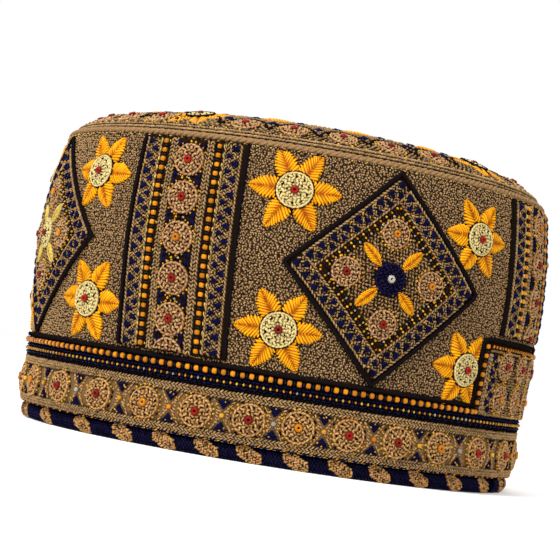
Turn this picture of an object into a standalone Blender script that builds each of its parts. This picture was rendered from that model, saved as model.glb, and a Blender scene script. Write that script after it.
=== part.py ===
"""A Balochi cap: a stitched round cap with embroidered strips, square panels and flowers.

Every cloth piece is its own object. Lengths below are millimetres and angles are degrees, and
the meshes are written in metres. The origin is the centre of the rim on the surface that the
cap rests on, +Z is up, and the front of the cap faces -Y. An azimuth is counted from the front,
growing towards +X.
"""

import bmesh
import bpy
import numpy as np

MM = 0.001

# The shell of the cap
SEAM_HEIGHT = 105.0
CROWN_RISE = 12.6
CROWN_SQUARENESS = 5.28
WALL_THICKNESS = 2.5
CROWN_THICKNESS = 2.0
SEGMENTS = 40

# Clearances between pieces that touch
GAP = 0.3
PATCH_GAP = 0.5
FLOWER_GAP = 0.6

# Heights of the bands round the lower edge
HEM_TOP = 5.5
LOWER_BRAID_TOP = 8.6
ROSETTE_BAND_TOP = 19.7
UPPER_BRAID_TOP = 22.5
LOWER_TAPE_TOP = 26.5
UPPER_TAPE_TOP = 29.8
BRAID_THICKNESS = 1.2
BAND_THICKNESS = 0.9
TAPE_THICKNESS = 1.0

# The black cord over the tape, which also runs round the front panel
RAIL_HEIGHT = 31.0
RAIL_RADIUS = 0.9
PANEL_TOP = 54.6
PANEL_HALF_WIDTH = 31.8
PANEL_CORNER = 3.5

# The piping over the seam
PIPING_RADIUS = 1.5

# Embroidered patches on the wall
PATCH_THICKNESS = 1.0
PATCH_TOP = 102.8
COLUMN_HALF_WIDTH = 20.8
FRONT_COLUMN_HALF_WIDTH = 22.6
DIAMOND_HEIGHT = 67.6
DIAMOND_HALF = 35.2

# Rosettes and flowers
ROSETTE_RADIUS = 5.4
ROSETTE_RISE = 1.0
ROSETTE_SIDES = 8
BAND_ROSETTE_RADIUS = 4.9
BAND_ROSETTE_COUNT = 31
DIAMOND_ROSETTE_REACH = 15.3
PANEL_ROSETTE_REACH = 15.2
PANEL_ROSETTE_HEIGHTS = (34.0, 45.6)
COLUMN_ROSETTE_HEIGHTS = (43.0, 56.6, 70.3, 84.0, 97.0)
DISC_RADIUS = 6.35
DISC_RISE = 2.0
PETAL_COUNT = 6

# The crown's embroidery
CROWN_RING_INNER = 59.0
CROWN_RING_OUTER = 86.4
CROWN_FLOWER_RADIUS = 73.4
CROWN_FLOWER_SIZE = 0.8
CROWN_FLOWER_AZIMUTHS = (-98.0, -21.5, 68.5, 165.0)
MEDALLION_RADIUS = 24.0

# The side wall's outer radius at a share of the seam's height
WALL_PROFILE = (
    # share, radius
    (0.00, 89.2),
    (0.06, 92.0),
    (0.20, 92.5),
    (0.42, 93.7),
    (0.65, 94.8),
    (0.85, 93.4),
    (1.00, 91.2),
)

# The hem roll's section, with a flat underside that the cap rests on
HEM_SECTION = (
    # radius, height
    (88.2, 0.0),
    (90.4, 0.0),
    (91.6, 1.3),
    (92.0, 3.2),
    (91.6, 5.1),
    (90.4, HEM_TOP),
    (88.2, HEM_TOP),
    (87.2, 4.4),
    (87.0, 1.2),
)

# A petal's outline, as the reach at an angle from the petal's tip
PETAL_OUTLINE = (
    # angle, reach
    (0.0, 15.3),
    (15.0, 12.8),
    (30.0, 7.4),
    (45.0, 12.8),
)

# Strips on the wall. The side strips lean a little, as sewn by hand.
COLUMNS = (
    # name, azimuth, half width, lean of the top towards +azimuth, lower end
    ("column_front", 0.0, FRONT_COLUMN_HALF_WIDTH, 0.0, 56.0),
    ("column_right", 90.0, COLUMN_HALF_WIDTH, 0.0, 32.2),
    ("column_back", 180.0, FRONT_COLUMN_HALF_WIDTH, 0.0, 32.2),
    ("column_left", -90.4, COLUMN_HALF_WIDTH, -2.0, 32.2),
)

# Azimuth of each square panel's centre
DIAMONDS = (-135.0, -45.5, 45.5, 135.0)

# The flowers on the wall
FLOWERS = (
    # azimuth, height, size
    (-156.2, 90.0, 0.97),
    (-156.2, 44.6, 0.97),
    (-114.7, 90.5, 0.95),
    (-111.8, 45.7, 1.00),
    (-68.2, 91.5, 1.00),
    (-67.0, 45.0, 0.97),
    (-24.0, 87.5, 0.93),
    (-22.4, 44.5, 0.93),
    (24.0, 87.5, 0.93),
    (22.4, 44.5, 0.93),
    (67.6, 90.5, 1.00),
    (67.6, 45.5, 0.97),
    (112.4, 90.5, 1.00),
    (112.4, 45.5, 0.97),
    (156.2, 90.0, 0.97),
    (156.2, 44.6, 0.97),
)

# Azimuths of the band's rosettes from the left side to the front, spaced by hand
SEEN_BAND_ROSETTES = (
    -131.0,
    -117.5,
    -104.5,
    -92.5,
    -81.0,
    -70.0,
    -60.0,
    -49.5,
    -38.5,
    -27.5,
    -15.0,
    -1.5,
)

TAN = (0.30, 0.22, 0.13)
PALE_TAN = (0.42, 0.30, 0.17)
NAVY = (0.012, 0.012, 0.06)
BLACK = (0.008, 0.008, 0.012)
YELLOW = (0.95, 0.48, 0.02)


def clear_scene():
    """Remove whatever the scene holds."""
    for thing in list(bpy.data.objects):
        bpy.data.objects.remove(thing, do_unlink=True)


def cloth_material(name, colour, roughness=0.85):
    """A plain cloth colour, made once for each name."""
    made = bpy.data.materials.get(name)
    if made is None:
        made = bpy.data.materials.new(name)
        made.use_nodes = True
        shader = made.node_tree.nodes["Principled BSDF"]
        shader.inputs["Base Color"].default_value = (*colour, 1.0)
        shader.inputs["Roughness"].default_value = roughness
        shader.inputs["Metallic"].default_value = 0.0
    return made


def smooth_table(table, where):
    """Read a smooth curve through a table's rows, each row's slope taken from its neighbours."""
    along, value = np.array(table, dtype=float).T
    slope = np.gradient(value, along)
    where = np.clip(where, along[0], along[-1])
    row = np.clip(np.searchsorted(along, where, side="right") - 1, 0, len(along) - 2)
    width = along[row + 1] - along[row]
    t = (where - along[row]) / width
    rise = value[row + 1] - value[row]
    bend = (1 - t) * (slope[row] * width - rise) - t * (slope[row + 1] * width - rise)
    return value[row] + t * rise + t * (1 - t) * bend


def wall_radius(height):
    """The side wall's outer radius at a height."""
    return smooth_table(WALL_PROFILE, np.asarray(height, dtype=float) / SEAM_HEIGHT)


def crown_height(radius):
    """The crown's outer height at a radius: flat in the middle, round at the shoulder."""
    share = np.asarray(radius, dtype=float) / wall_radius(SEAM_HEIGHT)
    return SEAM_HEIGHT + CROWN_RISE * (1.0 - share**CROWN_SQUARENESS)


def crown_slope(radius):
    """How steeply the crown falls at a radius, as fall over run."""
    edge = wall_radius(SEAM_HEIGHT)
    share = np.asarray(radius, dtype=float) / edge
    return CROWN_RISE * CROWN_SQUARENESS * share ** (CROWN_SQUARENESS - 1.0) / edge


def around(azimuth, radius, height):
    """Points at an azimuth in radians, a radius and a height."""
    azimuth, radius, height = np.broadcast_arrays(azimuth, radius, height)
    return np.stack([radius * np.sin(azimuth), -radius * np.cos(azimuth), height], axis=-1)


def on_wall(azimuth, height):
    """A cloth frame on the wall: x runs right along the wall, y up, lift out of the wall."""

    def place(x, y, lift):
        level = height + np.asarray(y, dtype=float)
        turn = np.radians(azimuth) + np.asarray(x, dtype=float) / wall_radius(height)
        return around(turn, wall_radius(level) + lift, level)

    return place


def on_crown(azimuth, radius):
    """A cloth frame on the crown: x runs right, y towards the middle, lift out of the crown."""
    turn = np.radians(azimuth)
    outward = np.array([np.sin(turn), -np.cos(turn)])
    right = np.array([np.cos(turn), np.sin(turn)])

    def place(x, y, lift):
        x, y = np.broadcast_arrays(np.asarray(x, dtype=float), np.asarray(y, dtype=float))
        plan = (radius - y)[..., None] * outward + x[..., None] * right
        reach = np.linalg.norm(plan, axis=-1)
        slope = crown_slope(reach)
        level = crown_height(reach)
        tip = np.sqrt(1.0 + slope**2)
        spread = 1.0 + lift * slope / tip / np.maximum(reach, 1e-6)
        return np.stack([plan[..., 0] * spread, plan[..., 1] * spread, level + lift / tip], axis=-1)

    return place


def make_object(name, points, faces, material, parent=None):
    """A closed mesh object from points in millimetres, with its faces turned outwards."""
    mesh = bpy.data.meshes.new(name)
    mesh.from_pydata((np.asarray(points) * MM).tolist(), [], faces)
    body = bmesh.new()
    body.from_mesh(mesh)
    bmesh.ops.recalc_face_normals(body, faces=body.faces)
    body.to_mesh(mesh)
    body.free()
    mesh.shade_smooth()
    mesh.set_sharp_from_angle(angle=np.radians(35.0))
    mesh.materials.append(material)
    made = bpy.data.objects.new(name, mesh)
    bpy.context.scene.collection.objects.link(made)
    made.parent = parent
    return made


def turned(section, segments=SEGMENTS):
    """Turn a closed section of radius and height rows about +Z. A radius of 0 makes a pole."""
    points = []
    rows = []
    for radius, height in section:
        if radius == 0.0:
            rows.append([len(points)] * segments)
            points.append((0.0, 0.0, height))
            continue
        turns = 2.0 * np.pi * np.arange(segments) / segments
        rows.append(list(range(len(points), len(points) + segments)))
        points.extend(around(turns, radius, height).tolist())
    faces = []
    for row, after in zip(rows, rows[1:] + rows[:1]):
        for i in range(segments):
            j = (i + 1) % segments
            corners = list(dict.fromkeys((row[i], row[j], after[j], after[i])))
            if len(corners) > 2:
                faces.append(corners)
    return points, faces


def wall_section(low, high, inner, outer, rows):
    """A band's closed section that follows the wall between two heights and two lifts."""
    heights = np.linspace(low, high, rows)
    radii = wall_radius(heights)
    out = list(zip((radii + outer).tolist(), heights.tolist()))
    back = list(zip((radii + inner).tolist(), heights.tolist()))[::-1]
    return out + back


def sheet(place, outline, columns, rows, low, high):
    """A curved slab: outline maps two shares from 0 to 1 to x and y, low and high are its lifts."""
    s, t = np.meshgrid(np.linspace(0.0, 1.0, columns + 1), np.linspace(0.0, 1.0, rows + 1))
    x, y = outline(s, t)
    points = np.concatenate([place(x, y, high).reshape(-1, 3), place(x, y, low).reshape(-1, 3)])
    across = columns + 1
    under = across * (rows + 1)
    faces = []
    for j in range(rows):
        for i in range(columns):
            a = j * across + i
            top = (a, a + 1, a + across + 1, a + across)
            faces.append(top)
            faces.append(tuple(under + k for k in reversed(top)))
    rim = [i for i in range(across)]
    rim += [j * across + columns for j in range(1, rows + 1)]
    rim += [rows * across + i for i in range(columns - 1, -1, -1)]
    rim += [j * across for j in range(rows - 1, 0, -1)]
    for a, b in zip(rim, rim[1:] + rim[:1]):
        faces.append((b, a, under + a, under + b))
    return points, faces


def stacked(rings, bottom, top):
    """A closed body from rings of equal length, with a point closing each end."""
    count = len(rings[0])
    points = [bottom] + [tuple(p) for ring in rings for p in ring] + [top]
    last = len(points) - 1
    faces = []
    for i in range(count):
        j = (i + 1) % count
        faces.append((0, 1 + j, 1 + i))
        faces.append((last, last - count + i, last - count + j))
        for k in range(len(rings) - 1):
            a = 1 + k * count
            b = a + count
            faces.append((a + i, a + j, b + j, b + i))
    return points, faces


def join_meshes(parts):
    """Put several lists of points and faces into one."""
    points = []
    faces = []
    for some_points, some_faces in parts:
        start = len(points)
        points.extend(np.asarray(some_points).tolist())
        faces.extend(tuple(start + k for k in face) for face in some_faces)
    return points, faces


def disc(place, x, y, radius, low, high, sides=ROSETTE_SIDES):
    """A low round boss that follows the cloth, a little higher in its middle."""
    turns = 2.0 * np.pi * (np.arange(sides) + 0.5) / sides
    round_x = x + radius * np.cos(turns)
    round_y = y + radius * np.sin(turns)
    ring_low = place(round_x, round_y, low)
    ring_high = place(round_x, round_y, high)
    return stacked([ring_low, ring_high], tuple(place(x, y, low)), tuple(place(x, y, high + 0.2)))


def leaf(place, x, y, angle, length, width, low, high):
    """A low pointed boss, such as a leaf stitched in satin thread."""
    along = np.array([0.5, 0.22, -0.22, -0.5, -0.22, 0.22]) * length
    across = np.array([0.0, 0.5, 0.5, 0.0, -0.5, -0.5]) * width
    turn = np.radians(angle)
    leaf_x = x + along * np.cos(turn) - across * np.sin(turn)
    leaf_y = y + along * np.sin(turn) + across * np.cos(turn)
    rings = [place(leaf_x, leaf_y, low), place(leaf_x, leaf_y, high)]
    return stacked(rings, tuple(place(x, y, low)), tuple(place(x, y, high + 0.2)))


def flower(place, size=1.0, highest=1000.0, seat=FLOWER_GAP):
    """Six pointed petals that rise to a round disc. Petals stop at the y given as highest."""
    turns = []
    reach = []
    for petal in range(PETAL_COUNT):
        for angle, far in PETAL_OUTLINE:
            turns.append(np.radians(petal * 360.0 / PETAL_COUNT + angle))
            reach.append(far)
    turns = np.array(turns)
    reach = size * np.array(reach)
    edge_x = reach * np.cos(turns)
    edge_y = np.minimum(reach * np.sin(turns), highest)
    disc_reach = size * DISC_RADIUS
    rings = [
        place(edge_x, edge_y, seat),
        place(disc_reach * np.cos(turns), disc_reach * np.sin(turns), seat + DISC_RISE),
    ]
    bottom = tuple(place(0.0, 0.0, seat))
    top = tuple(place(0.0, 0.0, seat + DISC_RISE + 0.4))
    return stacked(rings, bottom, top)


def add_modifier(thing, operation, other):
    """Join another closed body to this one, or cut it away. The other body stays a guide."""
    boolean = thing.modifiers.new(operation.lower(), "BOOLEAN")
    boolean.operation = operation
    boolean.solver = "EXACT"
    boolean.object = other
    other.hide_render = True
    other.display_type = "WIRE"


def embroider(thing, bosses, material, parent):
    """Join raised bosses to a patch."""
    points, faces = join_meshes(bosses)
    guide = make_object(thing.name + "_raised", points, faces, material, parent)
    add_modifier(thing, "UNION", guide)


def tube(path, outward, radius, sides=6):
    """A closed round cord along a closed path, with a direction that points out of the cloth."""
    ahead = np.roll(path, -1, axis=0) - np.roll(path, 1, axis=0)
    ahead /= np.linalg.norm(ahead, axis=1)[:, None]
    beside = np.cross(ahead, outward)
    beside /= np.linalg.norm(beside, axis=1)[:, None]
    up = np.cross(beside, ahead)
    count = len(path)
    points = []
    for turn in 2.0 * np.pi * (np.arange(sides) + 0.5) / sides:
        points.extend((path + radius * (np.cos(turn) * beside + np.sin(turn) * up)).tolist())
    faces = []
    for k in range(sides):
        a = k * count
        b = ((k + 1) % sides) * count
        for i in range(count):
            j = (i + 1) % count
            faces.append((a + i, a + j, b + j, b + i))
    return points, faces


def rail_route():
    """The black cord's route: round the cap, and up and over the front panel."""
    corner = np.radians(np.array([0.0, 30.0, 60.0, 90.0]))
    reach = wall_radius(RAIL_HEIGHT)
    start = PANEL_HALF_WIDTH / reach
    turns = np.linspace(start, 2.0 * np.pi - start, SEGMENTS - 4)
    heights = np.full(len(turns), RAIL_HEIGHT)
    climb = np.array([36.0, 41.0, 46.0])
    left_x = -PANEL_HALF_WIDTH + PANEL_CORNER * (1.0 - np.cos(corner))
    corner_y = PANEL_TOP - PANEL_CORNER * (1.0 - np.sin(corner))
    across_x = np.linspace(-20.0, 20.0, 5)
    over_x = np.concatenate([np.full(3, -PANEL_HALF_WIDTH), left_x, across_x])
    over_x = np.concatenate([over_x, -left_x[::-1], np.full(3, PANEL_HALF_WIDTH)])
    over_y = np.concatenate([climb, corner_y, np.full(5, PANEL_TOP), corner_y[::-1], climb[::-1]])
    turns = np.concatenate([turns, over_x / reach])
    heights = np.concatenate([heights, over_y])
    lift = GAP + 0.1 + RAIL_RADIUS
    path = around(turns, wall_radius(heights) + lift, heights)
    outward = around(turns, 1.0, 0.0)
    return path, outward


def build_shell(parent):
    """The crown, the side wall, the piping over their seam and the padded roll round the hem."""
    tan = cloth_material("field_cloth", TAN)
    heights = np.linspace(HEM_TOP + GAP, SEAM_HEIGHT - PIPING_RADIUS - GAP, 10)
    outer = wall_radius(heights)
    section = list(zip(outer.tolist(), heights.tolist()))
    inside = heights[[9, 6, 3, 0]]
    section += list(zip((wall_radius(inside) - WALL_THICKNESS).tolist(), inside.tolist()))
    make_object("side_wall", *turned(section), tan, parent)

    edge = wall_radius(SEAM_HEIGHT) - PIPING_RADIUS - GAP
    shares = np.array([0.0, 0.35, 0.6, 0.76, 0.86, 0.94, 1.0])
    radii = shares * edge
    seat = SEAM_HEIGHT - PIPING_RADIUS
    section = list(zip(radii.tolist(), crown_height(radii).tolist()))
    section += [(edge, seat), (edge - WALL_THICKNESS, seat)]
    inner = radii[[5, 4, 3, 1, 0]]
    section += list(zip(inner.tolist(), (crown_height(inner) - CROWN_THICKNESS).tolist()))
    make_object("crown", *turned(section), cloth_material("crown_cloth", TAN), parent)

    turns = np.radians(np.arange(30.0, 390.0, 60.0))
    reach = wall_radius(SEAM_HEIGHT) + PIPING_RADIUS * np.cos(turns)
    level = SEAM_HEIGHT + PIPING_RADIUS * np.sin(turns)
    section = list(zip(reach.tolist(), level.tolist()))
    make_object("top_piping", *turned(section), cloth_material("piping_cord", PALE_TAN), parent)
    make_object("hem_binding", *turned(HEM_SECTION), cloth_material("hem_roll", NAVY), parent)


def build_bands(parent):
    """The braids, the rosette band, the two bead tapes and the black cord above them."""
    braid = cloth_material("braid", PALE_TAN)
    tape = cloth_material("bead_tape", NAVY)
    bands = (
        # name, lower edge, upper edge, thickness, material
        ("lower_braid", HEM_TOP + GAP, LOWER_BRAID_TOP, BRAID_THICKNESS, braid),
        ("upper_braid", ROSETTE_BAND_TOP + GAP, UPPER_BRAID_TOP, BRAID_THICKNESS, braid),
        ("bead_tape_lower", UPPER_BRAID_TOP + GAP, LOWER_TAPE_TOP, TAPE_THICKNESS, tape),
    )
    for name, low, high, thickness, material in bands:
        section = wall_section(low, high, GAP, GAP + thickness, 2)
        make_object(name, *turned(section), material, parent)

    section = wall_section(LOWER_BRAID_TOP + GAP, ROSETTE_BAND_TOP, GAP, GAP + BAND_THICKNESS, 2)
    rosettes = cloth_material("rosette_cloth", PALE_TAN)
    band = make_object("rosette_band", *turned(section), rosettes, parent)
    hidden = BAND_ROSETTE_COUNT - len(SEEN_BAND_ROSETTES)
    first = SEEN_BAND_ROSETTES[-1]
    last = SEEN_BAND_ROSETTES[0] + 360.0
    step = (last - first) / (hidden + 1)
    azimuths = list(SEEN_BAND_ROSETTES) + [first + step * (i + 1) for i in range(hidden)]
    low = GAP + 0.4 * BAND_THICKNESS
    high = GAP + BAND_THICKNESS + ROSETTE_RISE
    middle = 0.5 * (LOWER_BRAID_TOP + GAP + ROSETTE_BAND_TOP)
    bosses = []
    for azimuth in azimuths:
        bosses.append(disc(on_wall(azimuth, middle), 0.0, 0.0, BAND_ROSETTE_RADIUS, low, high))
    embroider(band, bosses, rosettes, parent)

    front = PANEL_HALF_WIDTH + RAIL_RADIUS + GAP
    round_wall = on_wall(180.0, LOWER_TAPE_TOP + GAP)
    half = np.pi * wall_radius(LOWER_TAPE_TOP + GAP) - front
    rise = UPPER_TAPE_TOP - LOWER_TAPE_TOP - GAP
    arc = sheet(
        round_wall,
        lambda s, t: ((2.0 * s - 1.0) * half, t * rise),
        SEGMENTS - 4,
        1,
        PATCH_GAP,
        PATCH_GAP + TAPE_THICKNESS,
    )
    make_object("bead_tape_upper", *arc, tape, parent)

    path, outward = rail_route()
    make_object("rail_cord", *tube(path, outward, RAIL_RADIUS), cloth_material("black_cord", BLACK), parent)


def build_front_panel(parent):
    """The small panel inside the loop of the black cord, with four rosettes."""
    cloth = cloth_material("panel_cloth", PALE_TAN)
    low_edge = LOWER_TAPE_TOP + GAP
    high_edge = PANEL_TOP - RAIL_RADIUS - GAP
    middle = 0.5 * (low_edge + high_edge)
    half = PANEL_HALF_WIDTH - RAIL_RADIUS - GAP - 0.1
    half_rise = 0.5 * (high_edge - low_edge)
    place = on_wall(0.0, middle)

    def outline(s, t):
        """A rectangle whose two upper corners are drawn in."""
        narrow = 1.5 * np.clip(t * 4.0 - 3.0, 0.0, 1.0)
        return (2.0 * s - 1.0) * (half - narrow), (2.0 * t - 1.0) * half_rise

    patch = sheet(place, outline, 6, 4, PATCH_GAP, PATCH_GAP + PATCH_THICKNESS)
    panel = make_object("front_panel", *patch, cloth, parent)
    low = PATCH_GAP + 0.5 * PATCH_THICKNESS
    high = PATCH_GAP + PATCH_THICKNESS + ROSETTE_RISE
    bosses = []
    for x in (-PANEL_ROSETTE_REACH, PANEL_ROSETTE_REACH):
        for height in PANEL_ROSETTE_HEIGHTS:
            bosses.append(disc(place, x, height - middle, ROSETTE_RADIUS, low, high))
    embroider(panel, bosses, cloth, parent)


def build_columns(parent):
    """The four upright strips, each with a chain of rosettes down its middle."""
    cloth = cloth_material("column_cloth", PALE_TAN)
    for name, azimuth, half, lean, low_edge in COLUMNS:
        middle = 0.5 * (low_edge + PATCH_TOP)
        half_rise = 0.5 * (PATCH_TOP - low_edge)
        place = on_wall(azimuth, middle)

        def outline(s, t):
            """A strip whose top is shifted sideways by its lean."""
            up = 2.0 * t - 1.0
            return (2.0 * s - 1.0) * half + lean * up, up * half_rise

        patch = sheet(place, outline, 4, 5, PATCH_GAP, PATCH_GAP + PATCH_THICKNESS)
        strip = make_object(name, *patch, cloth, parent)
        low = PATCH_GAP + 0.5 * PATCH_THICKNESS
        high = PATCH_GAP + PATCH_THICKNESS + ROSETTE_RISE
        bosses = []
        for height in COLUMN_ROSETTE_HEIGHTS:
            if height - ROSETTE_RADIUS - 0.4 < low_edge:
                continue
            y = height - middle
            bosses.append(disc(place, lean * y / half_rise, y, ROSETTE_RADIUS, low, high))
        embroider(strip, bosses, cloth, parent)


def build_diamonds(parent):
    """The four square panels that stand on a corner, each with rosettes and four leaves."""
    cloth = cloth_material("diamond_cloth", PALE_TAN)
    low = PATCH_GAP + 0.5 * PATCH_THICKNESS
    high = PATCH_GAP + PATCH_THICKNESS + ROSETTE_RISE
    reach = DIAMOND_ROSETTE_REACH
    for number, azimuth in enumerate(DIAMONDS, 1):
        place = on_wall(azimuth, DIAMOND_HEIGHT)

        def outline(s, t):
            """A square turned onto its corner."""
            return (s - t) * DIAMOND_HALF, (s + t - 1.0) * DIAMOND_HALF

        patch = sheet(place, outline, 5, 5, PATCH_GAP, PATCH_GAP + PATCH_THICKNESS)
        panel = make_object("diamond_%d" % number, *patch, cloth, parent)
        spots = ((0.0, 0.0), (reach, 0.0), (-reach, 0.0), (0.0, reach), (0.0, -reach))
        bosses = [disc(place, x, y, ROSETTE_RADIUS, low, high) for x, y in spots]
        for angle in (45.0, 135.0, 225.0, 315.0):
            x = 0.7 * reach * np.cos(np.radians(angle))
            y = 0.7 * reach * np.sin(np.radians(angle))
            bosses.append(leaf(place, x, y, angle, 8.6, 3.5, low, high))
        embroider(panel, bosses, cloth, parent)


def build_flowers(parent):
    """The sixteen flowers on the wall. The front panel's cord cuts two of them short."""
    thread = cloth_material("petal_thread", YELLOW, 0.6)
    half = PANEL_HALF_WIDTH + RAIL_RADIUS + GAP
    place = on_wall(0.0, 43.0)
    block = sheet(
        place,
        lambda s, t: ((2.0 * s - 1.0) * half, (2.0 * t - 1.0) * 20.0),
        8,
        4,
        -4.0,
        8.0,
    )
    cutter = make_object("panel_clearance", *block, thread, parent)
    for number, (azimuth, height, size) in enumerate(FLOWERS, 1):
        points, faces = flower(on_wall(azimuth, height), size, PATCH_TOP - height)
        bloom = make_object("flower_%02d" % number, points, faces, thread, parent)
        if abs(azimuth) < 24.0:
            add_modifier(bloom, "DIFFERENCE", cutter)


def build_crown_embroidery(parent):
    """The ring round the crown's edge, four flowers sewn on it and the round in the middle."""
    cloth = cloth_material("crown_embroidery", PALE_TAN)
    radii = np.linspace(CROWN_RING_INNER, CROWN_RING_OUTER, 4)
    ring = []
    for lift, row in ((PATCH_GAP + PATCH_THICKNESS, radii), (PATCH_GAP, radii[::-1])):
        slope = crown_slope(row)
        tip = np.sqrt(1.0 + slope**2)
        reach = row + lift * slope / tip
        ring += list(zip(reach.tolist(), (crown_height(row) + lift / tip).tolist()))
    make_object("crown_ring", *turned(ring), cloth, parent)

    thread = cloth_material("petal_thread", YELLOW, 0.6)
    seat = PATCH_GAP + PATCH_THICKNESS + FLOWER_GAP
    for number, azimuth in enumerate(CROWN_FLOWER_AZIMUTHS, 1):
        place = on_crown(azimuth, CROWN_FLOWER_RADIUS)
        points, faces = flower(place, CROWN_FLOWER_SIZE, seat=seat)
        make_object("crown_flower_%d" % number, points, faces, thread, parent)

    low = crown_height(0.0) + PATCH_GAP
    section = (
        # radius, height
        (0.0, low),
        (MEDALLION_RADIUS, low),
        (MEDALLION_RADIUS, low + PATCH_THICKNESS),
        (0.25 * MEDALLION_RADIUS, low + PATCH_THICKNESS + ROSETTE_RISE),
        (0.0, low + PATCH_THICKNESS + ROSETTE_RISE),
    )
    make_object("crown_medallion", *turned(section, 24), cloth, parent)


def main():
    """Model the whole cap under one empty."""
    clear_scene()
    cap = bpy.data.objects.new("balochi_cap", None)
    bpy.context.scene.collection.objects.link(cap)
    build_shell(cap)
    build_bands(cap)
    build_front_panel(cap)
    build_columns(cap)
    build_diamonds(cap)
    build_flowers(cap)
    build_crown_embroidery(cap)


main()
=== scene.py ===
"""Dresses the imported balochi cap: cloth, cords, braids, stitches and seed beads.

Shapes are worked out in cloth coordinates, in millimetres: x runs right along the cloth, y up it
and lift out of it. An azimuth is counted in degrees from the front, growing towards +X.
"""

import bpy
import numpy as np
from bpy.props import FloatProperty, FloatVectorProperty, PointerProperty
from mathutils import Matrix, Vector


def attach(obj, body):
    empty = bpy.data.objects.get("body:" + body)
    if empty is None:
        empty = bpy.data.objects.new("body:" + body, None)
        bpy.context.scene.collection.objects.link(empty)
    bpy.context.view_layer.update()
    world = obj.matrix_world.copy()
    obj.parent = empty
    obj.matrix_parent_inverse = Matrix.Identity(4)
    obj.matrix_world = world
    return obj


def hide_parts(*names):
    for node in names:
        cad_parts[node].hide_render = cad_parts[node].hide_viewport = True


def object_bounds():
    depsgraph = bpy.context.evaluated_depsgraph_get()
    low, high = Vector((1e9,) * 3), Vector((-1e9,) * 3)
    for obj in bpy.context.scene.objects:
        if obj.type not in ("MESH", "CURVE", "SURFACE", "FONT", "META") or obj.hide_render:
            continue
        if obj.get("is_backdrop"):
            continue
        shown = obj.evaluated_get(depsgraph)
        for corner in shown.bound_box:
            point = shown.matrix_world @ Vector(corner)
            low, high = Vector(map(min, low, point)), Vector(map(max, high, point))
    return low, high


bl_info = {
    "name": "Balochi cap stitchwork",
    "version": (1, 0, 0),
    "blender": (4, 5, 0),
    "location": "View3D > Sidebar > Cap",
    "description": "Covers a cap's plain solids with cloth, cords, embroidery and seed beads",
    "category": "Add Mesh",
}

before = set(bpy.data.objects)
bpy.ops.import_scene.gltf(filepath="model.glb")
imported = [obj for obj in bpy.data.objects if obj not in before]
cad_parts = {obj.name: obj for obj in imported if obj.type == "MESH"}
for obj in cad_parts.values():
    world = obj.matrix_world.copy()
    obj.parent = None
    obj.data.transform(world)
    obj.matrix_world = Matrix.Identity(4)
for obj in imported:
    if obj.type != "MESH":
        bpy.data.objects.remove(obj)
CAD_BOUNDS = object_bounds()

MM = 0.001
SEAM_HEIGHT = 105.0
CROWN_RISE = 12.6
CROWN_SQUARENESS = 5.28
WALL_THICKNESS = 2.5
CROWN_THICKNESS = 2.0
HEM_TOP = 5.5
HEM_RADIUS = 91.6
HEM_MIDDLE = 2.9
WALL_PROFILE = (
    # share of the seam's height, radius
    (0.00, 89.2),
    (0.06, 92.0),
    (0.20, 92.5),
    (0.42, 93.7),
    (0.65, 94.8),
    (0.85, 93.4),
    (1.00, 91.2),
)
COLUMNS = (
    # name, azimuth, half width, lean of the top, lower end
    ("column_front", 0.0, 22.6, 0.0, 56.0),
    ("column_right", 90.0, 20.8, 0.0, 32.2),
    ("column_back", 180.0, 22.6, 0.0, 32.2),
    ("column_left", -90.4, 20.8, -2.0, 32.2),
)
COLUMN_TOP = 104.2
STRIP_HALF = 20.8
COLUMN_ROSETTES = (31.3, 43.0, 56.6, 70.3, 84.0, 97.0)
DIAMONDS = (-135.0, -46.4, 45.5, 135.0)
DIAMOND_HEIGHT = 67.6
DIAMOND_REACH = 34.9
DISC_COVER = 8.6
FLOWERS = (
    # azimuth, height, size
    (-156.2, 90.0, 0.97),
    (-156.2, 44.6, 0.97),
    (-114.7, 90.5, 0.95),
    (-111.8, 45.7, 1.00),
    (-68.2, 91.5, 1.00),
    (-67.0, 45.0, 0.97),
    (-25.4, 87.0, 0.93),
    (-23.8, 42.0, 0.93),
    (24.0, 87.5, 0.93),
    (22.4, 44.5, 0.93),
    (67.6, 90.5, 1.00),
    (67.6, 45.5, 0.97),
    (112.4, 90.5, 1.00),
    (112.4, 45.5, 0.97),
    (156.2, 90.0, 0.97),
    (156.2, 44.6, 0.97),
)
BAND_AZIMUTHS = (-131, -117.5, -104.5, -92.5, -81, -70, -60, -49.5, -38.5, -27.5, -15, -1.5)
BAND_COUNT = 31
BAND_MIDDLE = 14.3
HEM_LEAVES = (
    *(-139.3, -123.8, -109.2, -97.6, -87.4, -78.0, -68.9),
    *(-59.2, -49.6, -40.6, -30.5, -19.4, -6.7, 7.1),
)
HEM_LEAF_COUNT = 33
CROWN_FLOWERS = (-98.0, -16.0, 68.5, 165.0)
CROWN_FLOWER_RADIUS = 75.0
CROWN_RING = (59.0, 87.6)
RING_RADIUS = 73.0
RING_BUTTON_RADIUS = 80.4
MEDALLION_RADIUS = 24.0
MEDALLION_LEVEL = 117.6
PILE_RADIUS = 94.0
PILE_TURNS = (-55.0, 50.0, 5.0, 95.0)
FILL_TURNS = (35.0, -35.0, 80.0)
PANEL_TOP = 54.2
PANEL_HALF = 31.2
RAIL_HEIGHT = 30.4
PANEL_CORNER = 3.5
SKY_LIGHT = 0.78
LAMPS = (
    # name, place in metres, power, size
    ("key_lamp", (-0.75, 0.05, 0.95), 12.0, 0.3),
    ("fill_lamp", (-0.95, -0.85, 0.35), 1.5, 0.8),
    ("back_lamp", (0.7, 0.4, 0.8), 5.0, 0.8),
)
FLOOR_HALF = 3.0
CAMERA_PLACE = (-0.6174, -0.2708, 0.0347)
CAMERA_AZIMUTH = -66.0
CAMERA_PITCH = -0.0459
CAMERA_ROLL = 0.1598
CAMERA_LENS = 113.3


# Sizes and colours for the panel


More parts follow.
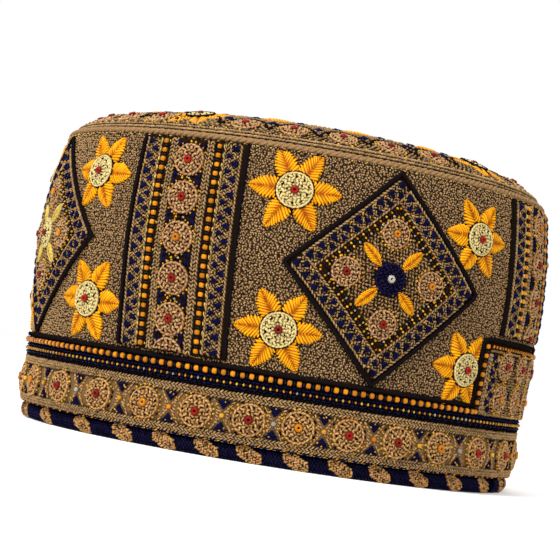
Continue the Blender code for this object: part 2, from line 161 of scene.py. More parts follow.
def colour(code):
    """A colour code of red, green and blue as the light values that the shader wants."""
    value = np.array([int(code[i : i + 2], 16) for i in (0, 2, 4)]) / 255.0
    light = np.where(value <= 0.04045, value / 12.92, ((value + 0.055) / 1.055) ** 2.4)
    return (*light.tolist(), 1.0)


def dye(label, code, use):
    """A colour property whose default comes from a colour code."""
    return FloatVectorProperty(
        name=label, description=use, subtype="COLOR", size=4, min=0.0, max=1.0, default=colour(code)
    )


def shade(label, code):
    """The colour property for the dark parts of a thread, cloth or bead."""
    return dye(label + " shade", code, "Dark parts of the " + label.lower())


def length(label, value, use, low=0.3, high=40.0):
    """A length property. Its values come in millimetres, and Blender keeps them in metres."""
    return FloatProperty(
        name=label,
        description=use,
        unit="LENGTH",
        precision=5,
        min=low * MM,
        max=high * MM,
        default=value * MM,
    )


class CapColours(bpy.types.PropertyGroup):
    """Colours of the cloth, threads, cords and beads, each with its shade."""

    field: dye("Field cloth", "6A5034", "Cloth under the curled pile")
    field_middle: dye("Field cloth middle", "46321C", "Sides of the field cloth's curls")
    field_shade: shade("Field cloth", "1E140A")
    pile: dye("Curled pile", "D2A976", "Tips of the field's curled pile")
    pile_shade: shade("Curled pile", "382008")
    lining: dye("Lining", "7A6548", "Cotton lining inside the cap")
    lining_shade: shade("Lining", "4E3C28")
    piping: dye("Piping", "BE9464", "Rope over the seam of wall and crown")
    piping_shade: shade("Piping", "301C0A")
    tan: dye("Tan thread", "C49E6C", "Braids and chains of stitches")
    tan_shade: shade("Tan thread", "38220C")
    filling: dye("Filling thread", "BC9666", "Short stitches that fill the patches")
    filling_shade: shade("Filling thread", "38220C")
    rose: dye("Rose tan thread", "DCAE78", "Crocheted buttons of the strips, panels and crown")
    rose_shade: shade("Rose tan thread", "501E06")
    gold_tan: dye("Gold tan thread", "E2B070", "Crocheted buttons of the band, and the hem's leaves")
    gold_tan_shade: shade("Gold tan thread", "54280A")
    cream: dye("Cream thread", "ECDCA0", "Crocheted discs in the flowers")
    cream_shade: shade("Cream thread", "A68A44")
    # The hole colour is painted shade in the crochet's holes; it also darkens some stitches of the seed
    # rings, under the piping and on the hem's leaves.
    hole: dye("Stitch hole", "1C1006", "Holes between crocheted stitches")
    hole_shade: shade("Stitch hole", "0C0602")
    ground: dye("Brown ground", "2E1E0E", "Cloth under the stitches of a patch")
    ground_shade: shade("Brown ground", "100804")
    navy: dye("Navy thread", "141442", "Satin triangles and the tape's stitches")
    navy_shade: shade("Navy thread", "02020C")
    hem_navy: dye("Hem thread", "1E1A44", "Stitches over the hem roll")
    hem_navy_shade: shade("Hem thread", "040308")
    navy_ground: dye("Navy ground", "0A0A16", "Cloth of the tape and the hem roll")
    navy_ground_shade: shade("Navy ground", "030306")
    black: dye("Black thread", "1C1618", "Couched cords and outlines")
    black_shade: shade("Black thread", "080606")
    satin: dye("Satin thread", "FFB40A", "Petals and leaves")
    satin_shade: shade("Satin thread", "8A3400")
    straw: dye("Straw thread", "F0D468", "Single pale yellow stitches and one panel's leaves")
    straw_shade: shade("Straw thread", "80601A")
    orange_bead: dye("Orange bead", "E08C04", "Large beads in the lines")
    orange_bead_shade: shade("Orange bead", "562002")
    gold_bead: dye("Gold bead", "F0B62C", "Seed beads round the buttons")
    gold_bead_shade: shade("Gold bead", "5A350C")
    red_bead: dye("Red bead", "9A1402", "Ring beads in buttons and discs")
    red_bead_shade: shade("Red bead", "2C0402")
    navy_bead: dye("Navy bead", "0C0C20", "Small dark beads between the bright ones")
    navy_bead_shade: shade("Navy bead", "020206")
    clear_bead: dye("Clear bead", "C8C0AE", "Single clear beads")
    clear_bead_shade: shade("Clear bead", "5A5446")


class CapSizes(bpy.types.PropertyGroup):
    """Sizes of the cap's motifs, cords and stitches."""

    petal_length: length("Petal length", 10.2, "From a flower's disc to the tip of its petals")
    petal_thread: length("Petal thread", 0.92, "Width of one satin thread in a petal")
    disc_radius: length("Disc radius", 6.2, "Radius of the disc in the largest flowers")
    strip_button: length("Strip button radius", 5.7, "Radius of the buttons on the upright strips")
    band_button: length("Band button radius", 5.6, "Radius of the buttons on the low band")
    panel_button: length("Panel button radius", 5.1, "Radius of the buttons on the square panels")
    crown_button: length("Crown button radius", 5.0, "Radius of the buttons round the crown")
    bead_length: length("Bead length", 1.7, "Length of a large bead along its thread")
    bead_width: length("Bead width", 1.85, "Width of a large bead")
    bead_pitch: length("Bead pitch", 3.1, "Distance from one large bead to the next")
    grain_pitch: length("Pile pitch", 0.94, "Distance between the grains of the wall's pile")
    strand_width: length("Piping strand", 1.3, "Width of one of the piping's three strands")
    cord_width: length("Cord width", 1.45, "Width of the couched black cords")
    panel_half_side: length("Panel half side", 25.6, "Half a side of the square panels")


def tint(name):
    """A colour of the panel, as a colour socket wants it."""
    return tuple(getattr(bpy.context.scene.cap_colours, name))


def size_of(name):
    """A size of the panel, in millimetres."""
    return getattr(bpy.context.scene.cap_sizes, name) / MM


# Places on the cap


def smooth_table(table, where):
    """A smooth curve through a table's rows: a cubic in each row, its end slopes from neighbours."""
    along, value = np.array(table, dtype=float).T
    slope = np.gradient(value, along)
    where = np.clip(where, along[0], along[-1])
    row = np.clip(np.searchsorted(along, where, side="right") - 1, 0, len(along) - 2)
    width = along[row + 1] - along[row]
    t = (where - along[row]) / width
    rise = value[row + 1] - value[row]
    bend = (1 - t) * (slope[row] * width - rise) - t * (slope[row + 1] * width - rise)
    return value[row] + t * rise + t * (1 - t) * bend


def wall_radius(height):
    """The side wall's outer radius at a height."""
    return smooth_table(WALL_PROFILE, np.asarray(height, dtype=float) / SEAM_HEIGHT)


def crown_height(radius):
    """Seam height plus rise times one minus the radius share to the power of the squareness."""
    share = np.asarray(radius, dtype=float) / wall_radius(SEAM_HEIGHT)
    return SEAM_HEIGHT + CROWN_RISE * (1.0 - share**CROWN_SQUARENESS)


def crown_slope(radius):
    """The fall over run of crown_height, which is its derivative with the sign turned."""
    edge = wall_radius(SEAM_HEIGHT)
    share = np.asarray(radius, dtype=float) / edge
    return CROWN_RISE * CROWN_SQUARENESS * share ** (CROWN_SQUARENESS - 1.0) / edge


def around(azimuth, radius, height):
    """Points at an azimuth in radians, a radius and a height."""
    azimuth, radius, height = np.broadcast_arrays(azimuth, radius, height)
    return np.stack([radius * np.sin(azimuth), -radius * np.cos(azimuth), height], axis=-1)


def on_wall(azimuth, height, lean=0.0):
    """Cloth coordinates on the wall, sheared sideways by lean for each millimetre up."""

    def place(x, y, lift):
        y = np.asarray(y, dtype=float)
        level = height + y
        across = np.asarray(x, dtype=float) + lean * y
        turn = np.radians(azimuth) + across / wall_radius(height)
        return around(turn, wall_radius(level) + lift, level)

    return place


def on_crown(azimuth, radius):
    """Cloth coordinates on the crown, with y towards its middle and lift along its normal."""
    turn = np.radians(azimuth)
    outward = np.array([np.sin(turn), -np.cos(turn)])
    right = np.array([np.cos(turn), np.sin(turn)])

    def place(x, y, lift):
        x, y = np.broadcast_arrays(np.asarray(x, dtype=float), np.asarray(y, dtype=float))
        plan = (radius - y)[..., None] * outward + x[..., None] * right
        reach = np.linalg.norm(plan, axis=-1)
        slope = crown_slope(reach)
        tip = np.sqrt(1.0 + slope**2)
        spread = 1.0 + lift * slope / tip / np.maximum(reach, 1e-6)
        level = crown_height(reach) + lift / tip
        return np.stack([plan[..., 0] * spread, plan[..., 1] * spread, level], axis=-1)

    return place


def turned_place(place, x, y, angle):
    """Cloth coordinates shifted to (x, y) of another place and turned there by an angle."""
    c, s = np.cos(np.radians(angle)), np.sin(np.radians(angle))
    return lambda p, q, lift: place(x + p * c - q * s, y + p * s + q * c, lift)


def turn_between(first, second):
    """The angle from a second azimuth to a first, between -180 and 180 degrees."""
    return (first - second + 180.0) % 360.0 - 180.0


def all_round(seen, count):
    """The seen azimuths, and the hidden ones evenly round the rest."""
    hidden = count - len(seen)
    step = (seen[0] + 360.0 - seen[-1]) / (hidden + 1)
    return list(seen) + [seen[-1] + step * (i + 1) for i in range(hidden)]


def section_rows(radii, heights):
    """Rows of a radius and a height, for a turned section."""
    return np.stack([radii, heights], axis=1)


# Base shapes, in a box of length 1 (x), width 1 (y) and height 1 (z), all closed


def neighbours(count):
    """The numbers below a count, and the number after each, where 0 follows the last."""
    here = np.arange(count)
    return here, (here + 1) % count


def wrapped_grid(rows, columns):
    """Quads between rows of points whose last column meets the first."""
    start = columns * np.arange(rows - 1)[:, None]
    here, after = neighbours(columns)
    corners = [start + here, start + after, start + after + columns, start + here + columns]
    return np.stack(corners, axis=-1).reshape(-1, 4)


def spindle(profile, section):
    """Rings of a section scaled by a profile's size at each step along x, closed by two points."""
    along, size = np.array(profile, dtype=float).T
    section = np.array(section, dtype=float)
    count = len(section)
    rings = np.empty((len(along), count, 3))
    rings[..., 0] = along[:, None]
    rings[..., 1] = size[:, None] * section[None, :, 0]
    rings[..., 2] = 0.5 + size[:, None] * (section[None, :, 1] - 0.5)
    points = np.concatenate([rings.reshape(-1, 3), [[-0.5, 0.0, 0.4], [0.5, 0.0, 0.4]]])
    total = len(along) * count
    far = total - count
    here, after = neighbours(count)
    near_lid = np.stack([np.full(count, total), after, here], axis=1)
    far_lid = np.stack([np.full(count, total + 1), far + here, far + after], axis=1)
    return points, wrapped_grid(len(along), count), np.concatenate([near_lid, far_lid])


def round_section(count):
    """Points of a circle in the unit box's width and height."""
    turn = 2.0 * np.pi * np.arange(count) / count
    return np.stack([0.5 * np.cos(turn), 0.5 + 0.5 * np.sin(turn)], axis=1)


THREE_SIDES = ((0.5, 0.05), (0.0, 1.0), (-0.5, 0.05))
STITCH = spindle(((-0.22, 0.96), (0.22, 0.96)), THREE_SIDES)
GRAIN = spindle(((0.0, 1.0),), THREE_SIDES)
SEED = spindle(((0.0, 1.0),), round_section(5))
BEAD = spindle(((-0.46, 0.66), (-0.3, 1.0), (0.3, 1.0), (0.46, 0.66)), round_section(8))


def bead_ring():
    """A bead seen from its hole's end: a round section of radius 0.2 turned at radius 0.3."""
    steps, sides = 10, 5
    turn = (2.0 * np.pi * np.arange(steps) / steps)[:, None]
    section_turn = (2.0 * np.pi * np.arange(sides) / sides)[None, :]
    reach = 0.3 + 0.2 * np.cos(section_turn)
    rows = (reach * np.cos(turn), reach * np.sin(turn), 0.5 + 0.5 * np.sin(section_turn))
    points = np.stack(np.broadcast_arrays(*rows), axis=-1).reshape(-1, 3)
    here, after = neighbours(sides)
    far = (steps - 1) * sides
    closing = np.stack([far + here, far + after, after, here], axis=1)
    quads = np.concatenate([wrapped_grid(steps, sides), closing])[:, ::-1]
    return points, quads, np.zeros((0, 3), dtype=int)


RING_BEAD = bead_ring()


class Work:
    """One piece's mesh, gathered as whole arrays of points, faces and values for each point."""

    LOOSE_TURN = 18.0
    LOOSE_SHARE = 0.12

    def __init__(self, name, seed):
        self.name = name
        self.rng = np.random.default_rng(seed)
        self.points = []
        self.faces = []
        self.finishes = []
        self.uvs = []
        self.tones = []
        self.total = 0

    def add(self, points, faces, finish, uv, tone):
        """Add points, lists of faces of any size, their finish, and each point's uv and tone."""
        points = np.asarray(points, dtype=float).reshape(-1, 3)
        self.points.append(points)
        self.uvs.append(np.broadcast_to(uv, (len(points), 2)))
        self.tones.append(np.broadcast_to(tone, len(points)))
        for face in faces:
            self.faces.append((face + self.total, finish))
        self.total += len(points)

    def sew(self, place, base, finish, x, y, angle, size, lift, jitter=0.0):
        """Copy a base shape to every (x, y), turned by an angle and scaled to a size, as one array.
        Jitter loosens each copy's turn, scale and place by normal draws. A copy's tone is random,
        and darkest at its foot and its tips, where real stitches are in shade."""
        x, y, angle = np.broadcast_arrays(
            np.asarray(x, dtype=float), np.asarray(y, dtype=float), np.asarray(angle, dtype=float)
        )
        x, y, angle = x.ravel(), y.ravel(), angle.ravel()
        count = len(x)
        if count == 0:
            return
        shape, quads, triangles = base
        length, width, height = size
        loose = jitter * self.LOOSE_SHARE
        turn = np.radians(angle + jitter * self.LOOSE_TURN * self.rng.standard_normal(count))
        scale = 1.0 + loose * self.rng.standard_normal((count, 1))
        p = shape[None, :, 0] * length * scale
        q = shape[None, :, 1] * width * scale
        h = shape[None, :, 2] * height * scale + np.broadcast_to(lift, count)[:, None]
        c, s = np.cos(turn)[:, None], np.sin(turn)[:, None]
        shift = loose * self.rng.standard_normal((2, count, 1))
        local_x = x[:, None] + shift[0] + p * c - q * s
        local_y = y[:, None] + shift[1] + p * s + q * c
        start = len(shape) * np.arange(count)[:, None, None]
        faces = [(quads[None] + start).reshape(-1, 4), (triangles[None] + start).reshape(-1, 3)]
        uv = np.stack([p + 7.3 * self.rng.random((count, 1)), q + np.zeros_like(p)], axis=-1)
        foot = np.clip(0.15 + 0.85 * shape[:, 2], 0.0, 1.0)
        tips = 1.0 - 0.5 * (2.0 * shape[:, 0]) ** 4
        tone = ((0.45 + 0.55 * self.rng.random(count))[:, None] * (foot * tips)[None, :]).ravel()
        self.add(place(local_x, local_y, h), faces, finish, uv.reshape(-1, 2), tone)

    def turn(self, section, columns, finish, back=None, tone=0.5):
        """Turn a section of (radius, height) rows about +Z. Radius 0 at both ends makes two poles,
        and else the last row meets the first. Faces that look inwards, and the first pole's, take
        back's finish where one is given."""
        section = np.asarray(section, dtype=float)
        poles = section[0, 0] == 0.0
        body = section[1:-1] if poles else section
        turn = 2.0 * np.pi * np.arange(columns) / columns
        points = around(turn[None, :], body[:, :1], body[:, 1:]).reshape(-1, 3)
        run = np.concatenate([[0.0], np.cumsum(np.linalg.norm(np.diff(body, axis=0), axis=1))])
        uv = np.stack(np.broadcast_arrays(turn[None, :] * body[:, :1], run[:, None]), axis=-1).reshape(-1, 2)
        quads = wrapped_grid(len(body), columns)
        rise = np.repeat(np.diff(body[:, 1]) * 3.0 - np.diff(body[:, 0]), columns)
        outer = np.ones(len(quads), dtype=bool) if back is None else rise >= 0.0
        front, inner = [quads[outer]], [quads[~outer]]
        far = (len(body) - 1) * columns
        here, after = neighbours(columns)
        if poles:
            count = len(points)
            points = np.concatenate([points, [[0.0, 0.0, section[0, 1]], [0.0, 0.0, section[-1, 1]]]])
            uv = np.concatenate([uv, [[0.0, 0.0], [0.0, 0.0]]])
            inner.append(np.stack([np.full(columns, count), after, here], axis=1))
            front.append(np.stack([np.full(columns, count + 1), far + here, far + after], axis=1))
        else:
            front.append(np.stack([far + here, far + after, after, here], axis=1))
        self.add(points, front, finish, uv, tone)
        start = self.total - len(points)
        self.faces += [(face + start, back or finish) for face in inner if len(face)]

    def slab(self, place, x, y, low, high, finish, tone=0.5, flip=False):
        """A closed sheet over a grid of x and y, in mm: x grows along columns and y along rows, or
        the other way round where flip is set."""
        rows, columns = x.shape
        size = rows * columns
        high = np.broadcast_to(high, x.shape)
        points = np.concatenate([place(x, y, high).reshape(-1, 3), place(x, y, low).reshape(-1, 3)])
        index = np.arange(size).reshape(rows, columns)
        top = np.stack([index[:-1, :-1], index[:-1, 1:], index[1:, 1:], index[1:, :-1]]).reshape(4, -1).T
        rim = np.concatenate([index[0, :-1], index[:-1, -1], index[-1, :0:-1], index[:0:-1, 0]])
        after = np.roll(rim, -1)
        side = np.stack([after, rim, rim + size, after + size], axis=1)
        turn = slice(None, None, -1 if flip else 1)
        uv = np.stack([x, y], axis=-1).reshape(-1, 2)
        tone = np.broadcast_to(tone, x.shape).reshape(-1)
        faces = [top[:, turn], top[:, ::-1][:, turn] + size, side[:, turn]]
        self.add(points, faces, finish, np.tile(uv, (2, 1)), np.tile(tone, 2))

    def line(self, place, path, size, finish, lift, closed=False, sides=6, twist=0.0):
        """A cord of elliptic section along a path of (x, y) points. Twist makes its section swell
        by an eighth of a cosine of the turn round the cord plus the distance over the twist's pitch."""
        path = np.asarray(path, dtype=float)
        if closed:
            ahead = np.roll(path, -1, axis=0) - np.roll(path, 1, axis=0)
        else:
            ahead = np.gradient(path, axis=0)
        ahead /= np.linalg.norm(ahead, axis=1)[:, None]
        step = np.linalg.norm(np.diff(path, axis=0), axis=1)
        along = np.concatenate([[0.0], np.cumsum(step)])[:, None]
        turn = 2.0 * np.pi * (np.arange(sides) + 0.5)[None, :] / sides
        width, height = size
        reach = np.ones((len(path), 1))
        if not closed:
            reach[[0, -1]] = 0.35
        swell = reach * (1.0 + (0.125 * np.cos(turn + 2.0 * np.pi * along / twist) if twist else 0.0))
        across = 0.5 * width * swell * np.cos(turn)
        lifts = lift + 0.5 * height * (1.0 + swell * np.sin(turn))
        x = path[:, :1] - ahead[:, 1:] * across
        y = path[:, 1:] + ahead[:, :1] * across
        points = place(x, y, lifts)
        uv = np.stack(np.broadcast_arrays(along, across), axis=-1).reshape(-1, 2)
        quads = wrapped_grid(len(path), sides)
        here, after = neighbours(sides)
        far = (len(path) - 1) * sides
        if closed:
            faces = [quads, np.stack([far + here, far + after, after, here], axis=1)]
        else:
            faces = [quads, here[None, ::-1], (far + here)[None, :]]
        self.add(points, faces, finish, uv, 0.5)

    def piece(self, slot, replaces=()):
        """Turn the arrays into a mesh object that rides on the cap and stands for its CAD nodes."""
        mesh = bpy.data.meshes.new(self.name)
        points = np.concatenate(self.points) * MM
        loops = np.concatenate([face.ravel() for face, _ in self.faces]).astype(np.int32)
        sizes = np.concatenate([np.full(len(face), face.shape[1]) for face, _ in self.faces])
        starts = (np.cumsum(sizes) - sizes).astype(np.int32)
        used = sorted({finish for _, finish in self.faces})
        slots = np.concatenate([np.full(len(face), used.index(finish)) for face, finish in self.faces])
        mesh.vertices.add(len(points))
        mesh.vertices.foreach_set("co", points.astype(np.float32).ravel())
        mesh.loops.add(len(loops))
        mesh.loops.foreach_set("vertex_index", loops)
        mesh.polygons.add(len(starts))
        mesh.polygons.foreach_set("loop_start", starts)
        mesh.polygons.foreach_set("material_index", slots.astype(np.int32))
        mesh.update(calc_edges=True)
        mesh.polygons.foreach_set("use_smooth", np.ones(len(starts), dtype=bool))
        uvs = mesh.uv_layers.new(name="cloth")
        uvs.uv.foreach_set("vector", np.concatenate(self.uvs)[loops].astype(np.float32).ravel())
        tones = mesh.attributes.new("tone", "FLOAT", "POINT")
        tones.data.foreach_set("value", np.concatenate(self.tones).astype(np.float32))
        for finish in used:
            mesh.materials.append(FINISHES[finish]())
        made = bpy.data.objects.new(self.name, mesh)
        bpy.context.scene.collection.objects.link(made)
        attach(made, "root")
        if replaces:
            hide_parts(*replaces)
        return made


# Finishes


def node(tree, kind, inputs=None, **settings):
    """A shader node with settings; an input's value is a number, a colour or another socket."""
    made = tree.nodes.new(kind)
    for name, value in settings.items():
        setattr(made, name, value)
    for key, value in (inputs or {}).items():
        if isinstance(value, bpy.types.NodeSocket):
            tree.links.new(value, made.inputs[key])
        else:
            made.inputs[key].default_value = value
    return made


def maths(tree, operation, *values):
    """The output of a Math node."""
    return node(tree, "ShaderNodeMath", dict(enumerate(values)), operation=operation).outputs[0]


def blend(tree, share, first, second):
    """The colour between two colours at a share."""
    made = node(tree, "ShaderNodeMix", {0: share, 6: first, 7: second}, data_type="RGBA")
    return made.outputs[2]


def effect(name, sockets):
    """A shader node group with named inputs and the outputs Color and Height, made once."""
    made = bpy.data.node_groups.get(name)
    if made:
        return made, None, None
    made = bpy.data.node_groups.new(name, "ShaderNodeTree")
    for label, kind, value in sockets:
        socket = made.interface.new_socket(label, in_out="INPUT", socket_type=kind)
        socket.default_value = value
    made.interface.new_socket("Color", in_out="OUTPUT", socket_type="NodeSocketColor")
    made.interface.new_socket("Height", in_out="OUTPUT", socket_type="NodeSocketFloat")
    return made, made.nodes.new("NodeGroupInput"), made.nodes.new("NodeGroupOutput")


def spun_thread():
    """Thread: streaks of noise stretched along the stitch, light and dark by the stitch's tone."""
    sockets = (
        ("Light", "NodeSocketColor", (0.6, 0.5, 0.3, 1.0)),
        ("Dark", "NodeSocketColor", (0.2, 0.15, 0.1, 1.0)),
        ("Tone share", "NodeSocketFloat", 0.6),
        ("Fibres", "NodeSocketFloat", 9.0),
    )
    group, given, out = effect("Spun thread", sockets)
    if given is None:
        return group
    uv = node(group, "ShaderNodeUVMap", uv_map="cloth").outputs[0]
    stretch = node(group, "ShaderNodeCombineXYZ", {"X": 0.9, "Y": given.outputs["Fibres"], "Z": 1.0})
    scaled = node(group, "ShaderNodeVectorMath", {0: uv, 1: stretch.outputs[0]}, operation="MULTIPLY")
    noise = node(group, "ShaderNodeTexNoise", {"Vector": scaled.outputs[0], "Scale": 1.0, "Detail": 2.0})
    streak = maths(group, "MULTIPLY_ADD", noise.outputs[0], 1.6, -0.3)
    tone = node(group, "ShaderNodeAttribute", attribute_name="tone").outputs["Fac"]
    by_tone = maths(group, "MULTIPLY", tone, given.outputs["Tone share"])
    rest = maths(group, "SUBTRACT", 1.0, given.outputs["Tone share"])
    share = maths(group, "MULTIPLY_ADD", streak, rest, by_tone)
    clear = node(group, "ShaderNodeClamp", {"Value": share}).outputs[0]
    mixed = blend(group, clear, given.outputs["Dark"], given.outputs["Light"])
    group.links.new(mixed, out.inputs["Color"])
    group.links.new(noise.outputs[0], out.inputs["Height"])
    return group


def curled_grain():
    """Curled pile: cells of two sizes pulled about by noise, painted light on their tops, painted shade
    between.
    """
    sockets = (
        ("Light", "NodeSocketColor", (0.6, 0.5, 0.3, 1.0)),
        ("Middle", "NodeSocketColor", (0.3, 0.2, 0.1, 1.0)),
        ("Dark", "NodeSocketColor", (0.05, 0.03, 0.02, 1.0)),
        ("Grains per metre", "NodeSocketFloat", 1000.0),
    )
    group, given, out = effect("Curled grain", sockets)
    if given is None:
        return group
    place = node(group, "ShaderNodeTexCoord").outputs["Object"]
    grains = given.outputs["Grains per metre"]
    pull = node(group, "ShaderNodeTexNoise", {"Vector": place, "Scale": grains, "Detail": 1.0})
    reach = (0.0011, 0.0011, 0.0011)
    shift = node(group, "ShaderNodeVectorMath", {0: pull.outputs["Color"], 1: reach}, operation="MULTIPLY")
    moved = node(group, "ShaderNodeVectorMath", {0: place, 1: shift.outputs[0]}, operation="ADD")
    cells = node(group, "ShaderNodeTexVoronoi", {"Vector": moved.outputs[0], "Scale": grains})
    finer = maths(group, "MULTIPLY", grains, 1.9)
    fine = node(group, "ShaderNodeTexVoronoi", {"Vector": moved.outputs[0], "Scale": finer})
    top = maths(group, "SUBTRACT", 1.0, cells.outputs["Distance"])
    fine_top = maths(group, "SUBTRACT", 1.0, fine.outputs["Distance"])
    height = maths(group, "MULTIPLY_ADD", fine_top, 0.35, maths(group, "MULTIPLY", top, 0.75))
    # Each curl takes a random colour between Middle and Light; then painted shade darkens the gaps between
    # curls, from the height that also drives the bump.
    limits = {"Value": height, "From Min": 0.48, "From Max": 0.98}
    shade = node(group, "ShaderNodeMapRange", limits, interpolation_type="SMOOTHSTEP").outputs[0]
    dyed = node(group, "ShaderNodeSeparateColor", {0: cells.outputs["Color"]}).outputs[0]
    pale = blend(group, dyed, given.outputs["Middle"], given.outputs["Light"])
    mixed = blend(group, shade, given.outputs["Dark"], pale)
    group.links.new(mixed, out.inputs["Color"])
    group.links.new(height, out.inputs["Height"])
    return group


def finish_of(name, group, values, roughness, bump, distance=0.0003, **shader_values):
    """A material whose colour and bump come from an effect; the rest stays on the shader."""
    made = bpy.data.materials.get(name)
    if made:
        return made
    made = bpy.data.materials.new(name)
    made.use_nodes = True
    tree = made.node_tree
    shader = tree.nodes["Principled BSDF"]
    placed = node(tree, "ShaderNodeGroup", node_tree=group)
    for label, value in values.items():
        placed.inputs[label].default_value = value
    tree.links.new(placed.outputs["Color"], shader.inputs["Base Color"])
    if bump:
        given = {"Height": placed.outputs["Height"], "Strength": bump, "Distance": distance}
        relief = node(tree, "ShaderNodeBump", given)
        tree.links.new(relief.outputs[0], shader.inputs["Normal"])
    shader.inputs["Roughness"].default_value = roughness
    for label, value in shader_values.items():
        shader.inputs[label.replace("_", " ")].default_value = value
    made.diffuse_color = next(iter(values.values()))
    return made


def thread(name, dyed, roughness=0.75, share=0.6, fibres=9.0, bump=0.5, gloss=0.1):
    """A function that makes a thread finish of one of the panel's colours and its shade."""

    def make():
        values = {
            "Light": tint(dyed),
            "Dark": tint(dyed + "_shade"),
            "Tone share": share,
            "Fibres": fibres,
        }
        return finish_of(name, spun_thread(), values, roughness, bump, Specular_IOR_Level=gloss)

    return make


def pile(name, dyed, grains):
    """A function that makes a curled cloth finish of three of the panel's colours."""

    def make():
        values = {
            "Light": tint(dyed),
            "Middle": tint(dyed + "_middle"),
            "Dark": tint(dyed + "_shade"),
            "Grains per metre": grains,
        }
        return finish_of(name, curled_grain(), values, 0.85, 0.9, 0.0006, Specular_IOR_Level=0.1)

    return make


def glass(name, dyed, roughness=0.28, coat=0.1, clear=0.0):
    """A function that makes a glass bead's finish of one of the panel's colours and its shade."""

    def make():
        values = {
            "Light": tint(dyed),
            "Dark": tint(dyed + "_shade"),
            "Tone share": 0.9,
            "Fibres": 1.0,
        }
        return finish_of(
            name,
            spun_thread(),
            values,
            roughness,
            0.0,
            Coat_Weight=coat,
            Coat_Roughness=0.08,
            Specular_IOR_Level=0.1,
            IOR=1.52,
            Transmission_Weight=clear,
        )

    return make


FINISHES = {
    "field": pile("field_pile", "field", 1000.0),
    "pile": thread("pile_grain", "pile", 0.85, 0.88, 5.0, 0.4),
    "lining": thread("lining_cotton", "lining", 0.9, 0.2, 3.0, 0.4),
    "piping": thread("piping_thread", "piping", share=0.3, fibres=6.0, bump=0.8),
    "tan": thread("tan_thread", "tan", share=0.88),
    "filling": thread("filling_thread", "filling", share=0.88),
    "rose": thread("rose_tan_thread", "rose", share=0.8),
    "gold_tan": thread("gold_tan_thread", "gold_tan", share=0.8),
    "cream": thread("cream_thread", "cream", 0.7, 0.7),
    "hole": thread("stitch_hole", "hole", 1.0, 0.2, 5.0, 0.5, 0.0),
    "ground": thread("brown_ground", "ground", 0.9, 0.2, 5.0, gloss=0.0),
    "navy": thread("navy_thread", "navy", 0.7, 0.9, 9.0, 0.5, 0.04),
    "hem_navy": thread("hem_navy_thread", "hem_navy", 0.75, 0.9, 9.0, 0.6, 0.04),
    "navy_ground": thread("navy_ground", "navy_ground", 0.9, 0.2, 5.0, 0.5, 0.0),
    "black": thread("black_thread", "black", 0.8, 0.5, 7.0, 0.5, 0.0),
    "satin": thread("satin_thread", "satin", 0.6, 0.95, 9.0, 0.3, 0.08),
    "straw": thread("straw_thread", "straw", 0.6, 0.9, 9.0, 0.3, 0.08),
    "orange_bead": glass("orange_bead", "orange_bead"),
    "gold_bead": glass("gold_bead", "gold_bead"),
    "red_bead": glass("red_bead", "red_bead", 0.35, 0.03),
    "navy_bead": glass("navy_bead", "navy_bead", 0.35, 0.1),
    "clear_bead": glass("clear_bead", "clear_bead", 0.12, 0.5, 0.3),
}


# Motifs, each sewn on a place

DOME_SIDES = 18
BUTTON_RADIUS = 5.3
BUTTON_ROUNDS = (
    # stitches, share of the radius, slant, a stitch's length, width and height, how loose
    (21, 0.90, 16.0, 2.1, 1.15, 0.85, 0.3),
    (17, 0.72, -46.0, 1.9, 1.2, 0.8, 0.6),
    (13, 0.53, 42.0, 1.8, 1.2, 0.8, 0.6),
    (9, 0.35, -36.0, 1.6, 1.15, 0.75, 0.5),
)
BUTTON_HOLES = (
    # holes, share of the radius, width
    (12, 0.76, 0.72),
    (8, 0.47, 0.68),
)
DISC_RADIUS = 6.35
DISC_ROUNDS = (
    # stitches, share of the radius, slant, a stitch's length, width and height, how loose
    (26, 0.92, 10.0, 2.4, 1.15, 0.95, 0.15),
    (22, 0.78, -40.0, 2.1, 1.25, 0.8, 0.5),
    (17, 0.62, 45.0, 2.0, 1.3, 0.8, 0.6),
    (13, 0.46, -45.0, 1.9, 1.25, 0.75, 0.6),
    (10, 0.31, 90.0, 1.7, 1.0, 0.7, 0.25),
)
DISC_HOLES = (
    # holes, share of the radius, width
    (10, 0.72, 0.85),
    (5, 0.42, 0.7),
)
PETAL_WIDTHS = (
    # share of the length, half width
    (-0.2, 2.4),
    (0.0, 3.0),
    (0.18, 3.55),
    (0.36, 3.6),
    (0.55, 3.1),
    (0.75, 2.05),
    (0.9, 1.1),
    (1.0, 0.3),
)
LEAF_WIDTHS = (
    # share of the length, half width
    (-0.12, 0.2),
    (0.0, 0.7),
    (0.2, 1.6),
    (0.5, 1.9),
    (0.8, 1.3),
    (1.0, 0.3),
)
PETAL_SLANT = 0.7
ROW_STITCH = (1.9, 0.85, 0.55)


def ring(count, radius, phase=0.0):
    """Points evenly round a circle, and the angle of the circle's run at each of them."""
    turn = 2.0 * np.pi * (np.arange(count) + phase) / count
    return radius * np.cos(turn), radius * np.sin(turn), np.degrees(turn) + 90.0


def dome(work, place, radius, rise, finish, lift):
    """A closed round cushion: its height is the rise times one minus the square of the share of
    its radius, to the power 0.6, above a flat back."""
    share = np.array([1.0, 0.93, 0.75, 0.45])[:, None]
    turn = 2.0 * np.pi * np.arange(DOME_SIDES) / DOME_SIDES
    x = radius * share * np.cos(turn)
    y = radius * share * np.sin(turn)
    high = np.broadcast_to(lift + rise * (1.0 - share**2) ** 0.6, x.shape)
    body = place(x, y, high).reshape(-1, 3)
    tips = np.array([place(0.0, 0.0, lift + rise), place(0.0, 0.0, lift - 0.2)]).reshape(2, 3)
    here, after = neighbours(DOME_SIDES)
    count = len(body)
    far = count - DOME_SIDES
    front = np.stack([np.full(DOME_SIDES, count), far + here, far + after], axis=1)
    back = np.stack([np.full(DOME_SIDES, count + 1), after, here], axis=1)
    faces = [wrapped_grid(len(share), DOME_SIDES), front, back]
    uv = np.concatenate([np.stack([x, y], axis=-1).reshape(-1, 2), np.zeros((2, 2))])
    work.add(np.concatenate([body, tips]), faces, finish, uv, 0.5)


